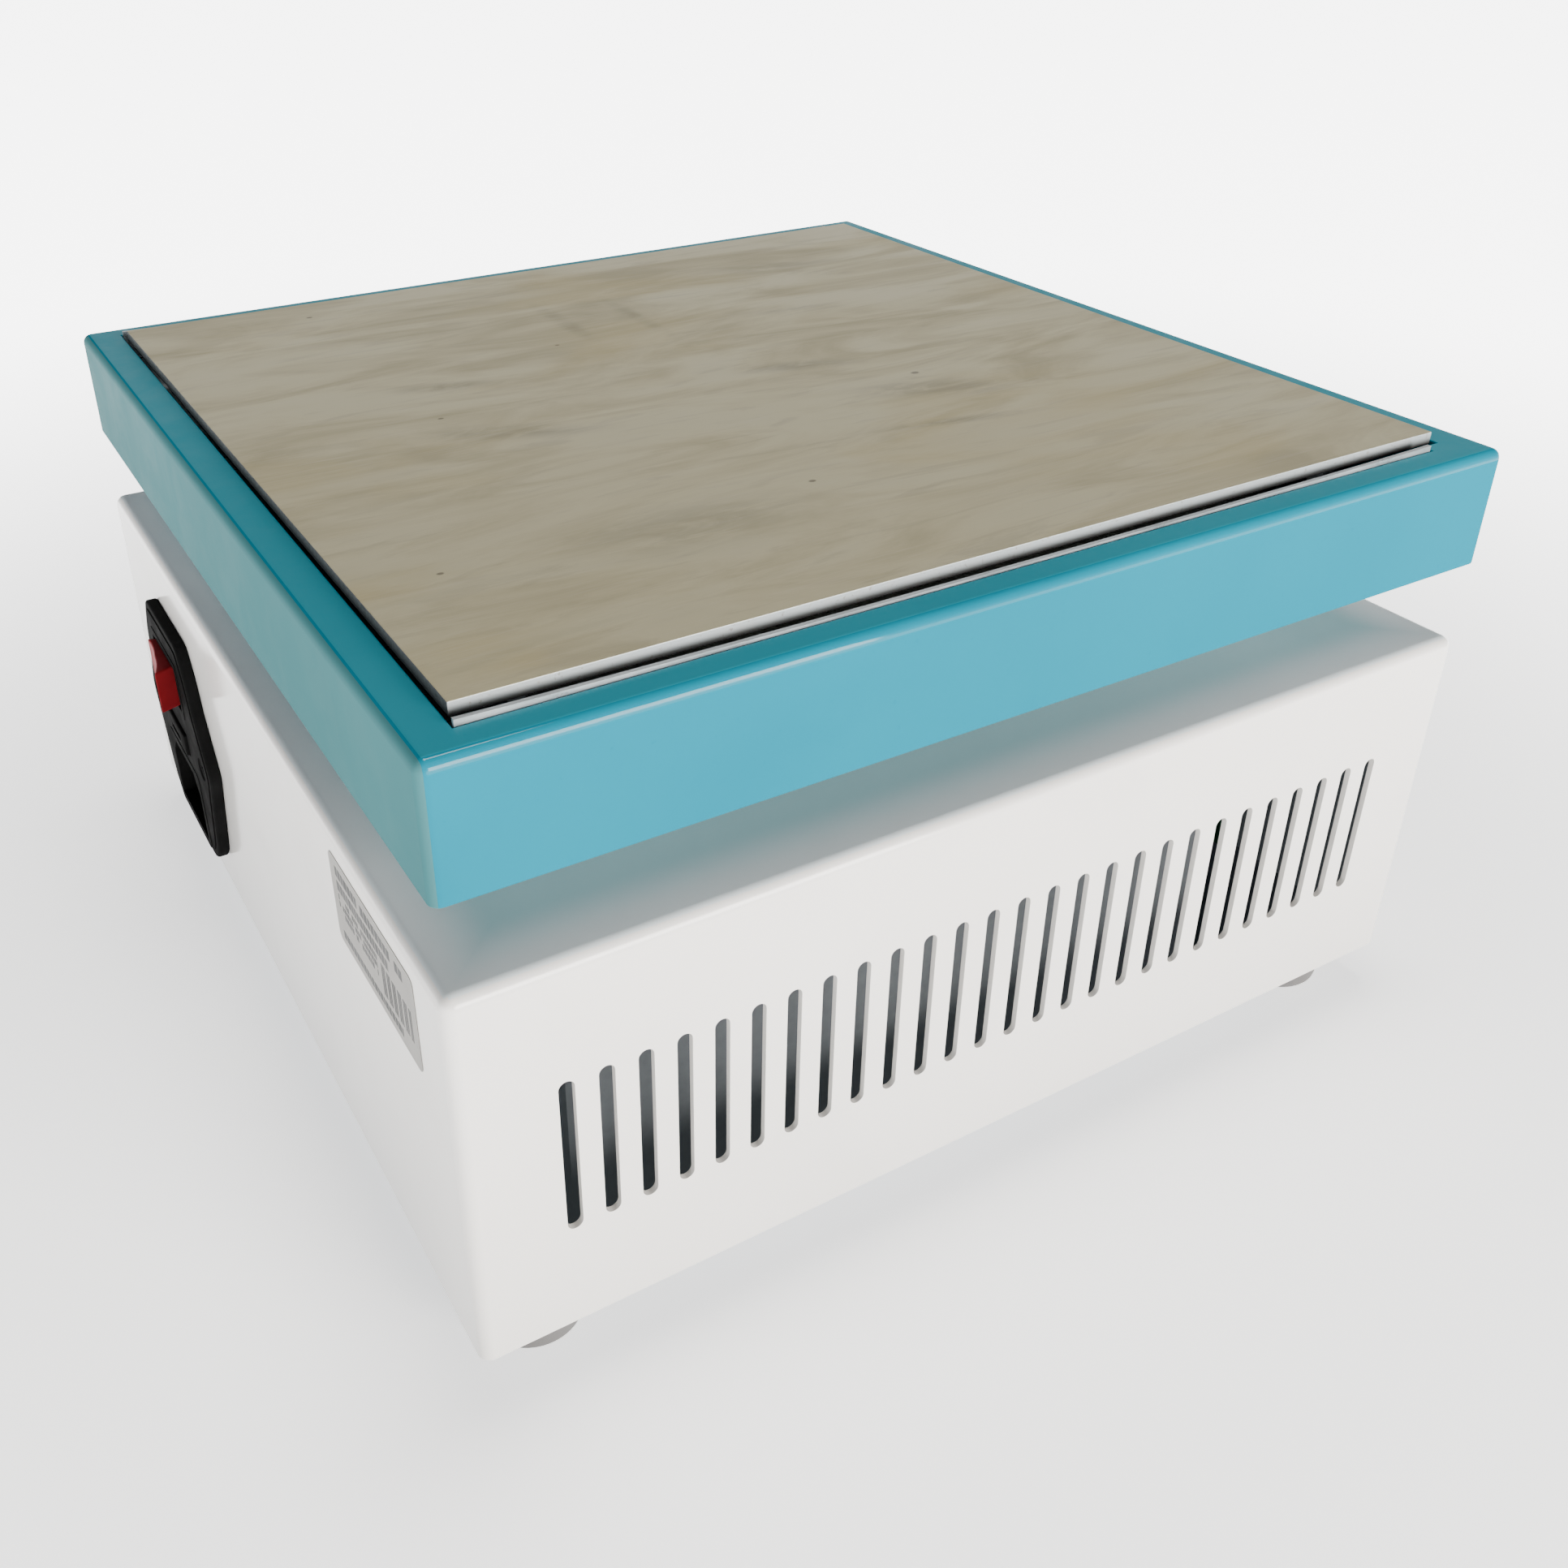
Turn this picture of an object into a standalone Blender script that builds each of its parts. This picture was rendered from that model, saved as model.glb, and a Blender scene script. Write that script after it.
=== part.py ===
"""Orbital shaker with a heated square platform.

A vented sheet-metal case on four rubber feet holds the motor, belt and cranks.
Four cranks with parallel pins carry the platform, so that it circles without turning.
Metres, +Z up. The front with the controls faces -Y, the mains inlet faces +Y.
"""

import math

import bmesh
import bpy
from mathutils import Matrix, Vector

MM = 0.001
GAP = 0.3 * MM          # space left between pieces that touch

# Case
CASE_X = -3.09 * MM     # centre of the case, so that the whole object is centred on the origin
CASE_Y = 6.21 * MM
CASE_W = 219.0 * MM
CASE_D = 220.0 * MM
CASE_Z0 = 10.8 * MM
CASE_Z1 = 89.2 * MM
WALL = 1.2 * MM
EDGE_R = 2.4 * MM
FRONT_Y = -CASE_D / 2
REAR_Y = CASE_D / 2

# Vents
VENT_COUNT = 27
VENT_PITCH = 7.04 * MM
VENT_W = 2.9 * MM
VENT_Z0 = 33.2 * MM
VENT_Z1 = 65.8 * MM

# Feet
FOOT_IN = 15.0 * MM     # foot centre, in from the side of the case
FOOT_H = 10.5 * MM
FOOT_R0 = 9.3 * MM
FOOT_R1 = 10.2 * MM

# Platform
ORBIT_R = 5.0 * MM
PARK_ANGLE = math.radians(-29.9)
FRAME_W = 222.7 * MM
FRAME_Z0 = 104.0 * MM
FRAME_Z1 = 128.1 * MM
FRAME_T = 1.5 * MM
FRAME_EDGE = 1.7 * MM
WINDOW_X = 204.6 * MM
WINDOW_Y0 = -102.8 * MM
WINDOW_Y1 = 103.3 * MM
NOTCH_X = 209.6 * MM    # the window is wider where the pan's flanges stand in it
PLATE_X = 202.0 * MM
PLATE_Y = 205.0 * MM
PLATE_T = 2.5 * MM
PLATE_TOP = 130.0 * MM
CARRIER_Z0 = 108.0 * MM
CARRIER_T = 6.0 * MM
PAN_T = 0.8 * MM
PAN_TOP = 129.1 * MM
PAN_Y0 = -98.0 * MM
PAN_Y1 = 103.0 * MM
STANDOFF_AT = 88.0 * MM
HEATER_W = 160.0 * MM

# Drive
DECK_Z0 = 76.0 * MM
DECK_T = 3.0 * MM
SHAFT_R = 4.0 * MM
BEARING_R = 8.0 * MM
PIN_R = 3.0 * MM
WEB_R = 12.0 * MM
WEB_Z0 = 91.6 * MM
WEB_Z1 = 96.6 * MM
IDLER_AT = 66.0 * MM
IDLER_ANGLES = (90.0, 210.0, 330.0)
MOTOR_AT = (-50.0 * MM, 38.0 * MM)
MOTOR_R = 20.0 * MM
MOTOR_PULLEY_R = 8.0 * MM
MAIN_PULLEY_R = 26.0 * MM
BELT_Z0 = 31.0 * MM
BELT_Z1 = 41.0 * MM
BELT_T = 1.6 * MM

# Mains inlet module
INLET_X = 60.0 * MM
INLET_T = 2.8 * MM
INLET_DEPTH = 26.0 * MM
SOCKET_Z = 31.5 * MM
ROCKER_Z = 63.0 * MM
FUSE_Z = 47.6 * MM

# Rating label
LABEL_X = -77.0 * MM
LABEL_Z = 75.2 * MM
LABEL_W = 40.0 * MM
LABEL_H = 19.0 * MM

# Front controls
DISPLAY_X = -30.0 * MM
DISPLAY_Z = 62.0 * MM
DISPLAY_W = 64.0 * MM
DISPLAY_H = 24.0 * MM
BUTTON_Z = 34.0 * MM
BUTTON_R = 4.2 * MM
BUTTONS = {"button_start": -54.0, "button_speed": -38.0, "button_time": -22.0, "button_heat": -6.0}
KNOB_X = 48.0 * MM
KNOB_Z = 50.0 * MM
KNOB_R = 13.0 * MM


def clear_scene():
    for item in list(bpy.data.objects):
        bpy.data.objects.remove(item, do_unlink=True)


def collection(name, hidden=False):
    made = bpy.data.collections.new(name)
    bpy.context.scene.collection.children.link(made)
    made.hide_render = hidden
    return made


def material(name, colour, roughness, metallic=0.0):
    made = bpy.data.materials.new(name)
    made.use_nodes = True
    shader = made.node_tree.nodes["Principled BSDF"]
    shader.inputs["Base Color"].default_value = (*colour, 1.0)
    shader.inputs["Roughness"].default_value = roughness
    shader.inputs["Metallic"].default_value = metallic
    made.diffuse_color = (*colour, 1.0)
    return made


clear_scene()
PARTS = collection("orbital_shaker")
CUTTERS = collection("cutters", hidden=True)


def empty(name, place, parent=None):
    made = bpy.data.objects.new(name, None)
    made.location = place
    made.parent = parent
    PARTS.objects.link(made)
    return made


CASE = empty("case_frame", (CASE_X, CASE_Y, 0.0))
PLATFORM = empty(
    "platform_pivot",
    (ORBIT_R * math.cos(PARK_ANGLE), ORBIT_R * math.sin(PARK_ANGLE), 0.0),
    CASE,
)


def add(name, mesh_maker, parent, place=(0.0, 0.0, 0.0), look=None, smooth=False, cutter=False):
    """Make an object from a function that fills a bmesh."""
    mesh = bpy.data.meshes.new(name)
    shape = bmesh.new()
    mesh_maker(shape)
    shape.to_mesh(mesh)
    shape.free()
    made = bpy.data.objects.new(name, mesh)
    made.parent = parent
    made.location = place
    (CUTTERS if cutter else PARTS).objects.link(made)
    if cutter:
        made.display_type = "WIRE"
        made.hide_render = True
    if look:
        mesh.materials.append(look)
    if smooth:
        for face in mesh.polygons:
            face.use_smooth = True
    return made


def box(low, high):
    """A box between two corners, from the cube primitive."""
    low = Vector(low)
    high = Vector(high)

    def fill(shape):
        made = bmesh.ops.create_cube(shape, size=1.0)
        size = high - low
        bmesh.ops.scale(shape, vec=size, verts=made["verts"])
        bmesh.ops.translate(shape, vec=(low + high) / 2, verts=made["verts"])

    return fill


def rod(radius, z0, z1, x=0.0, y=0.0, top_radius=None, sides=20, axis="Z"):
    """A cylinder or cone from z0 to z1 along its axis; x and y are its place across the axis."""

    def fill(shape):
        made = bmesh.ops.create_cone(
            shape, cap_ends=True, segments=sides, radius1=radius,
            radius2=radius if top_radius is None else top_radius, depth=z1 - z0,
        )
        bmesh.ops.translate(shape, vec=(0.0, 0.0, (z0 + z1) / 2), verts=made["verts"])
        if axis == "Y":
            bmesh.ops.rotate(
                shape, cent=(0.0, 0.0, 0.0), matrix=Matrix.Rotation(-math.pi / 2, 3, "X"),
                verts=made["verts"],
            )
            bmesh.ops.translate(shape, vec=(x, 0.0, y), verts=made["verts"])
        else:
            bmesh.ops.translate(shape, vec=(x, y, 0.0), verts=made["verts"])

    return fill


def slab(outline, low, high, axis="Z"):
    """A flat outline pushed from low to high along an axis."""

    def fill(shape):
        ring = []
        for a, b in outline:
            point = (a, b, low) if axis == "Z" else (a, low, b)
            ring.append(shape.verts.new(point))
        face = shape.faces.new(ring)
        bmesh.ops.recalc_face_normals(shape, faces=[face])
        step = (0.0, 0.0, high - low) if axis == "Z" else (0.0, high - low, 0.0)
        made = bmesh.ops.extrude_face_region(shape, geom=[face])
        moved = [item for item in made["geom"] if isinstance(item, bmesh.types.BMVert)]
        bmesh.ops.translate(shape, vec=step, verts=moved)
        bmesh.ops.recalc_face_normals(shape, faces=shape.faces[:])

    return fill


def stadium(width, low, high, across, steps=4):
    """The outline of an upright slot with round ends."""
    radius = width / 2
    outline = []
    for step in range(steps + 1):
        turn = math.pi * step / steps
        outline.append((across + radius * math.cos(turn), high - radius + radius * math.sin(turn)))
    for step in range(steps + 1):
        turn = math.pi + math.pi * step / steps
        outline.append((across + radius * math.cos(turn), low + radius + radius * math.sin(turn)))
    return outline


def apply(made):
    """Replace an object's mesh by the result of its modifiers."""
    graph = bpy.context.evaluated_depsgraph_get()
    result = bpy.data.meshes.new_from_object(made.evaluated_get(graph))
    old = made.data
    made.modifiers.clear()
    made.data = result
    bpy.data.meshes.remove(old)


def bevel(made, width, segments=2, angle=50.0):
    modifier = made.modifiers.new("edges", "BEVEL")
    modifier.width = width
    modifier.segments = segments
    modifier.limit_method = "ANGLE"
    modifier.angle_limit = math.radians(angle)


def boolean(made, other, operation):
    modifier = made.modifiers.new(operation.lower(), "BOOLEAN")
    modifier.operation = operation
    modifier.solver = "EXACT"
    modifier.object = other


def cut(made, name, *makers):
    """Cut shapes out of an object, each given in the object's own parent frame."""
    for number, maker in enumerate(makers):
        tool = add(f"{name}_cut_{number}", maker, made.parent, made.location, cutter=True)
        boolean(made, tool, "DIFFERENCE")


def join(made, name, *makers):
    for number, maker in enumerate(makers):
        tool = add(f"{name}_add_{number}", maker, made.parent, made.location, cutter=True)
        boolean(made, tool, "UNION")


def several(*makers):
    """Several shapes that don't touch each other, as one cutter."""

    def fill(shape):
        for maker in makers:
            maker(shape)

    return fill


def lathe(name, profile, parent, place, look, sides=24):
    """Turn a profile about +Z. At +X it runs from the top, down its outer side, to the bottom."""
    mesh = bpy.data.meshes.new(name)
    shape = bmesh.new()
    points = [shape.verts.new((radius, 0.0, height)) for radius, height in profile]
    for first, second in zip(points, points[1:]):
        shape.edges.new((first, second))
    shape.to_mesh(mesh)
    shape.free()
    made = bpy.data.objects.new(name, mesh)
    made.parent = parent
    made.location = place
    PARTS.objects.link(made)
    mesh.materials.append(look)
    turn = made.modifiers.new("turn", "SCREW")
    turn.axis = "Z"
    turn.steps = sides
    turn.render_steps = sides
    turn.use_merge_vertices = True
    turn.merge_threshold = 0.00001
    turn.use_smooth_shade = True
    return made


def ring(name, inner, outer, z0, z1, parent, place, look, sides=24):
    """A plain tube: a closed rectangular profile turned about +Z."""
    profile = [(inner, z1), (outer, z1), (outer, z0), (inner, z0), (inner, z1)]
    return lathe(name, profile, parent, place, look, sides)


# Materials
WHITE = material("white_powder_coat", (0.83, 0.83, 0.81), 0.45)
TEAL = material("teal_powder_coat", (0.05, 0.42, 0.50), 0.35)
BARE = material("bare_aluminium", (0.62, 0.59, 0.53), 0.38, 0.9)
BRIGHT = material("bright_sheet", (0.86, 0.87, 0.88), 0.25, 0.9)
STEEL = material("steel", (0.60, 0.61, 0.62), 0.35, 1.0)
GALV = material("galvanised_sheet", (0.66, 0.68, 0.70), 0.45, 0.9)
ALU = material("cast_aluminium", (0.70, 0.71, 0.73), 0.5, 0.9)
BRASS = material("brass", (0.72, 0.55, 0.25), 0.3, 1.0)
RUBBER = material("grey_rubber", (0.22, 0.21, 0.20), 0.8)
BELT = material("belt_rubber", (0.03, 0.03, 0.03), 0.7)
BLACK = material("black_plastic", (0.02, 0.02, 0.02), 0.45)
RED = material("red_plastic", (0.55, 0.03, 0.03), 0.25)
LABEL = material("grey_label", (0.62, 0.60, 0.56), 0.5)
FASCIA = material("grey_fascia", (0.30, 0.33, 0.35), 0.5)
SMOKE = material("dark_window", (0.02, 0.03, 0.04), 0.1)
BOARD = material("circuit_board", (0.02, 0.22, 0.10), 0.5)
FIBRE = material("insulation_fibre", (0.80, 0.76, 0.68), 0.9)
SILICONE = material("heater_silicone", (0.50, 0.12, 0.05), 0.6)
SOFT = material("button_rubber", (0.75, 0.77, 0.78), 0.6)


def case_cover():
    """Five-sided sheet cover: rounded outside, open underneath, vents in both sides."""
    half_w = CASE_W / 2
    half_d = CASE_D / 2
    made = add("case_cover", box((-half_w, -half_d, CASE_Z0 - EDGE_R), (half_w, half_d, CASE_Z1)),
               CASE, look=WHITE)
    bevel(made, EDGE_R, 3)
    inner_w = half_w - WALL
    inner_d = half_d - WALL
    cut(
        made, "case_cover",
        box((-1.0, -1.0, -0.1), (1.0, 1.0, CASE_Z0)),
        box((-inner_w, -inner_d, 0.0), (inner_w, inner_d, CASE_Z1 - WALL)),
    )
    slots = []
    for number in range(VENT_COUNT):
        across = (number - (VENT_COUNT - 1) / 2) * VENT_PITCH
        slots.append(vent_slot(across))
    cut(made, "vent", several(*slots))
    spindles = [(0.0, 0.0)] + idler_places()
    cut(made, "spindle", several(*[rod(11.6 * MM, 80 * MM, 100 * MM, x, y) for x, y in spindles]))
    front = [box((DISPLAY_X - 29 * MM, FRONT_Y - MM, DISPLAY_Z - 9.5 * MM),
                 (DISPLAY_X + 29 * MM, FRONT_Y + 5 * MM, DISPLAY_Z + 9.5 * MM))]
    front.append(rod(3.8 * MM, FRONT_Y - MM, FRONT_Y + 5 * MM, KNOB_X, KNOB_Z, axis="Y"))
    for across in BUTTONS.values():
        front.append(rod(BUTTON_R + GAP, FRONT_Y - MM, FRONT_Y + 5 * MM, across * MM, BUTTON_Z, axis="Y"))
    cut(made, "front", several(*front))
    cut(made, "inlet", box((INLET_X - 14.3 * MM, REAR_Y - 5 * MM, 20.9 * MM),
                           (INLET_X + 14.3 * MM, REAR_Y + MM, 75.4 * MM)))
    apply(made)


def vent_slot(across):
    """One slot cutter that passes through both vented sides."""
    outline = stadium(VENT_W, VENT_Z0, VENT_Z1, across)

    def fill(shape):
        for side in (-1.0, 1.0):
            centre = side * CASE_W / 2
            ring = [shape.verts.new((centre - 4 * MM, a, b)) for a, b in outline]
            face = shape.faces.new(ring)
            made = bmesh.ops.extrude_face_region(shape, geom=[face])
            moved = [item for item in made["geom"] if isinstance(item, bmesh.types.BMVert)]
            bmesh.ops.translate(shape, vec=(8 * MM, 0.0, 0.0), verts=moved)
        bmesh.ops.recalc_face_normals(shape, faces=shape.faces[:])

    return fill


def idler_places():
    places = []
    for degrees in IDLER_ANGLES:
        turn = math.radians(degrees)
        places.append((IDLER_AT * math.cos(turn), IDLER_AT * math.sin(turn)))
    return places


def foot_places():
    x = CASE_W / 2 - FOOT_IN
    y = CASE_D / 2 - FOOT_IN
    return [(-x, y), (x, y), (-x, -y), (x, -y)]


def bottom_plate():
    half_w = CASE_W / 2 - WALL - GAP
    half_d = CASE_D / 2 - WALL - GAP
    made = add("bottom_plate", box((-half_w, -half_d, CASE_Z0 + GAP), (half_w, half_d, CASE_Z0 + 1.8 * MM)),
               CASE, look=GALV)
    holes = [rod(1.8 * MM, 0.0, 20 * MM, x, y, sides=12) for x, y in foot_places()]
    cut(made, "bottom_plate", several(*holes))
    apply(made)


def feet():
    for number, (x, y) in enumerate(foot_places(), 1):
        profile = [
            (1.8 * MM, FOOT_H), (FOOT_R1, FOOT_H), (FOOT_R0 + 0.4 * MM, 0.8 * MM), (FOOT_R0, 0.0),
            (3.9 * MM, 0.0), (3.9 * MM, 3.4 * MM), (1.8 * MM, 3.4 * MM), (1.8 * MM, FOOT_H),
        ]
        lathe(f"foot_{number}", profile, CASE, (x, y, 0.0), RUBBER, 20)
        screw = [
            (0.0, 16.0 * MM), (1.5 * MM, 16.0 * MM), (1.5 * MM, 3.1 * MM), (3.3 * MM, 3.1 * MM),
            (3.3 * MM, 1.6 * MM), (2.4 * MM, 0.9 * MM), (0.0, 0.9 * MM),
        ]
        lathe(f"foot_screw_{number}", screw, CASE, (x, y, 0.0), STEEL, 12)


def inlet_outline():
    """Module flange: narrow at the top and bottom, widest at the two ears half-way up."""
    half = [
        (12.5, 76.0), (15.5, 75.0), (19.4, 69.0), (20.4, 62.0), (26.6, 50.2), (27.5, 47.6),
        (26.6, 45.0), (21.0, 27.0), (17.0, 20.6), (14.0, 19.5),
    ]
    right = [(INLET_X + x * MM, z * MM) for x, z in half]
    left = [(INLET_X - x * MM, z * MM) for x, z in reversed(half)]
    return right + left


def socket_outline(half_w, low, high, corner):
    """The three-pin inlet's cavity: a rectangle with its two upper corners cut off."""
    return [
        (INLET_X - half_w, low), (INLET_X + half_w, low), (INLET_X + half_w, high - corner),
        (INLET_X + half_w - corner, high), (INLET_X - half_w + corner, high),
        (INLET_X - half_w, high - corner),
    ]


def inlet():
    face = REAR_Y + GAP
    made = add("inlet_housing", slab(inlet_outline(), face, face + INLET_T, "Y"), CASE, look=BLACK)
    bevel(made, 0.6 * MM, 2)
    join(made, "inlet_housing", box((INLET_X - 13.9 * MM, REAR_Y - INLET_DEPTH, 21.3 * MM),
                                    (INLET_X + 13.9 * MM, face + MM, 75.0 * MM)))
    cut(
        made, "inlet_housing",
        slab(socket_outline(12.2 * MM, SOCKET_Z - 8.4 * MM, SOCKET_Z + 8.4 * MM, 4.0 * MM),
             face + INLET_T - 15.5 * MM, face + INLET_T + MM, "Y"),
        box((INLET_X - 10.2 * MM, REAR_Y - 14 * MM, ROCKER_Z - 5.6 * MM),
            (INLET_X + 10.2 * MM, face + INLET_T + MM, ROCKER_Z + 5.6 * MM)),
        box((INLET_X - 9.0 * MM, REAR_Y - 20 * MM, FUSE_Z - 3.0 * MM),
            (INLET_X + 9.0 * MM, face + INLET_T + MM, FUSE_Z + 3.0 * MM)),
    )
    apply(made)
    back = face + INLET_T - 15.5 * MM + GAP
    for name, x, z in (("inlet_pin_l", -7.0, -2.6), ("inlet_pin_n", 7.0, -2.6), ("inlet_pin_e", 0.0, 2.8)):
        low = (INLET_X + (x - 1.0) * MM, back, SOCKET_Z + (z - 2.0) * MM)
        high = (INLET_X + (x + 1.0) * MM, back + 11.5 * MM, SOCKET_Z + (z + 2.0) * MM)
        pin = add(name, box(low, high), CASE, look=BRASS)
        bevel(pin, 0.4 * MM, 1)


def rocker():
    """A rocker that tilts on an upright axis just behind the module's face, with its -X end out."""
    axis = empty("rocker_axis", (INLET_X, REAR_Y - 2.0 * MM, ROCKER_Z), CASE)
    outline = [
        (-9.3 * MM, 9.2 * MM), (-6.4 * MM, 2.0 * MM), (-3.2 * MM, -7.0 * MM), (3.2 * MM, -7.0 * MM),
        (6.4 * MM, 2.0 * MM), (9.3 * MM, 6.6 * MM), (0.0, 7.2 * MM),
    ]

    def fill(shape):
        side = [shape.verts.new((x, y, -5.2 * MM)) for x, y in outline]
        face = shape.faces.new(side)
        made = bmesh.ops.extrude_face_region(shape, geom=[face])
        moved = [item for item in made["geom"] if isinstance(item, bmesh.types.BMVert)]
        bmesh.ops.translate(shape, vec=(0.0, 0.0, 10.4 * MM), verts=moved)
        bmesh.ops.recalc_face_normals(shape, faces=shape.faces[:])

    made = add("rocker", fill, axis, look=RED)
    bevel(made, 0.5 * MM, 2)


def fuse_drawer():
    face = REAR_Y + GAP + INLET_T
    made = add(
        "fuse_drawer",
        box((INLET_X - 8.7 * MM, REAR_Y - 19.0 * MM, FUSE_Z - 2.7 * MM),
            (INLET_X + 8.7 * MM, face + 0.6 * MM, FUSE_Z + 2.7 * MM)),
        CASE, look=BLACK,
    )
    cut(made, "fuse_drawer", box((INLET_X - 7.0 * MM, REAR_Y - 17.5 * MM, FUSE_Z - 1.2 * MM),
                                 (INLET_X + 7.0 * MM, face - 3.0 * MM, FUSE_Z + 5.0 * MM)))
    apply(made)


def rating_label():
    low = REAR_Y + GAP
    add(
        "rating_label",
        box((LABEL_X - LABEL_W / 2, low, LABEL_Z - LABEL_H / 2),
            (LABEL_X + LABEL_W / 2, low + 0.2 * MM, LABEL_Z + LABEL_H / 2)),
        CASE, look=LABEL,
    )


def front_controls():
    outer = FRONT_Y - GAP
    fascia = add("fascia", box((-78 * MM, outer - 1.5 * MM, 18 * MM), (78 * MM, outer, 82 * MM)),
                 CASE, look=FASCIA)
    bevel(fascia, 0.5 * MM, 1)
    holes = [box((DISPLAY_X - DISPLAY_W / 2, outer - 5 * MM, DISPLAY_Z - DISPLAY_H / 2),
                 (DISPLAY_X + DISPLAY_W / 2, outer + MM, DISPLAY_Z + DISPLAY_H / 2))]
    holes.append(rod(4.0 * MM, outer - 5 * MM, outer + MM, KNOB_X, KNOB_Z, axis="Y"))
    for across in BUTTONS.values():
        holes.append(rod(BUTTON_R + GAP, outer - 5 * MM, outer + MM, across * MM, BUTTON_Z, axis="Y"))
    cut(fascia, "fascia", several(*holes))
    apply(fascia)
    half_w = DISPLAY_W / 2 - GAP
    half_h = DISPLAY_H / 2 - GAP
    add(
        "display_window",
        box((DISPLAY_X - half_w, outer - 1.4 * MM, DISPLAY_Z - half_h),
            (DISPLAY_X + half_w, outer, DISPLAY_Z + half_h)),
        CASE, look=SMOKE,
    )
    for name, across in BUTTONS.items():
        place = (across * MM, FRONT_Y, BUTTON_Z)
        made = add(name, rod(BUTTON_R, -3.9 * MM, 2.6 * MM, sides=16, axis="Y"), CASE, place, SOFT)
        join(made, name, rod(5.2 * MM, 1.6 * MM, 3.0 * MM, sides=16, axis="Y"))
        apply(made)


def knob():
    """A grooved knob on the encoder's shaft, made about +Z and laid along -Y."""
    axis = empty("knob_axis", (KNOB_X, FRONT_Y, KNOB_Z), CASE)
    axis.rotation_euler = (math.pi / 2, 0.0, 0.0)
    profile = [
        (0.0, 19.5 * MM), (9.6 * MM, 19.5 * MM), (10.8 * MM, 18.6 * MM), (KNOB_R - 0.8 * MM, 6.0 * MM),
        (KNOB_R, 4.6 * MM), (KNOB_R, 3.0 * MM), (5.2 * MM, 3.0 * MM), (5.2 * MM, 6.5 * MM),
        (2.6 * MM, 6.5 * MM), (2.6 * MM, -5.0 * MM), (0.0, -5.0 * MM),
    ]
    made = lathe("knob", profile, axis, (0.0, 0.0, 0.0), BLACK, 32)
    mark = add("knob_cut_0", box((-0.5 * MM, 4.5 * MM, 19.0 * MM), (0.5 * MM, 12.0 * MM, 20.0 * MM)),
               axis, cutter=True)
    boolean(made, mark, "DIFFERENCE")
    apply(made)


def control_board():
    face = FRONT_Y + 11.0 * MM
    body = add("encoder", box((KNOB_X - 6 * MM, FRONT_Y + 3.6 * MM, KNOB_Z - 6 * MM),
                              (KNOB_X + 6 * MM, face - GAP, KNOB_Z + 6 * MM)), CASE, look=STEEL)
    join(body, "encoder", rod(3.5 * MM, FRONT_Y - 3.0 * MM, FRONT_Y + 4.0 * MM, KNOB_X, KNOB_Z, axis="Y"))
    cut(body, "encoder", rod(2.9 * MM, FRONT_Y - 6.0 * MM, FRONT_Y + 5.6 * MM, KNOB_X, KNOB_Z, axis="Y"))
    apply(body)
    board = add("control_board", box((-72 * MM, face, 19 * MM), (72 * MM, face + 1.6 * MM, 74 * MM)),
                CASE, look=BOARD)
    switches = [rod(2.0 * MM, FRONT_Y + 5.2 * MM, face + MM, x * MM, BUTTON_Z, sides=12, axis="Y")
                for x in BUTTONS.values()]
    display = box((DISPLAY_X - 28 * MM, FRONT_Y + 2.0 * MM, DISPLAY_Z - 9 * MM),
                  (DISPLAY_X + 28 * MM, face + MM, DISPLAY_Z + 9 * MM))
    join(board, "control_board", several(display, *switches))
    apply(board)


def chassis():
    """A folded deck on two legs that stands on the bottom plate."""
    low = CASE_Z0 + 1.8 * MM + GAP
    top = DECK_Z0 + DECK_T
    made = add("chassis", box((-95 * MM, -62 * MM, low), (95 * MM, 86 * MM, top)), CASE, look=GALV)
    bevel(made, 2.0 * MM, 2)
    tunnel = box((-92 * MM, -70 * MM, low - MM), (92 * MM, 95 * MM, DECK_Z0))
    holes = [rod(11.3 * MM, 60 * MM, 90 * MM, x, y) for x, y in [(0.0, 0.0)] + idler_places()]
    holes.append(rod(6.3 * MM, 60 * MM, 90 * MM, *MOTOR_AT))
    cut(made, "chassis", tunnel, several(*holes))
    apply(made)


def bearing_housing(name, x, y, bore):
    """Flanged tube: the flange sits on the deck, and the tube reaches through case and deck."""
    top = 90.0 * MM
    low = 58.0 * MM
    profile = [
        (bore, top), (11.0 * MM, top), (11.0 * MM, 82.6 * MM), (17.0 * MM, 82.6 * MM),
        (17.0 * MM, 79.3 * MM), (11.0 * MM, 79.3 * MM), (11.0 * MM, low), (bore, low), (bore, top),
    ]
    lathe(name, profile, CASE, (x, y, 0.0), ALU, 20)


def crank(name, x, y, low, axis_name):
    """Shaft, web and offset pin in one piece, with its origin on the shaft's axis."""
    pivot = empty(axis_name, (x, y, 0.0), CASE)
    profile = [
        (0.0, WEB_Z1), (WEB_R - 1.0 * MM, WEB_Z1), (WEB_R, WEB_Z1 - 1.0 * MM), (WEB_R, WEB_Z0),
        (SHAFT_R, WEB_Z0), (SHAFT_R, low), (0.0, low),
    ]
    made = lathe(name, profile, pivot, (0.0, 0.0, 0.0), STEEL, 20)
    join(made, name, rod(PIN_R, WEB_Z0 + MM, 113.6 * MM, *PLATFORM.location[:2], sides=16))
    apply(made)
    return pivot


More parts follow.
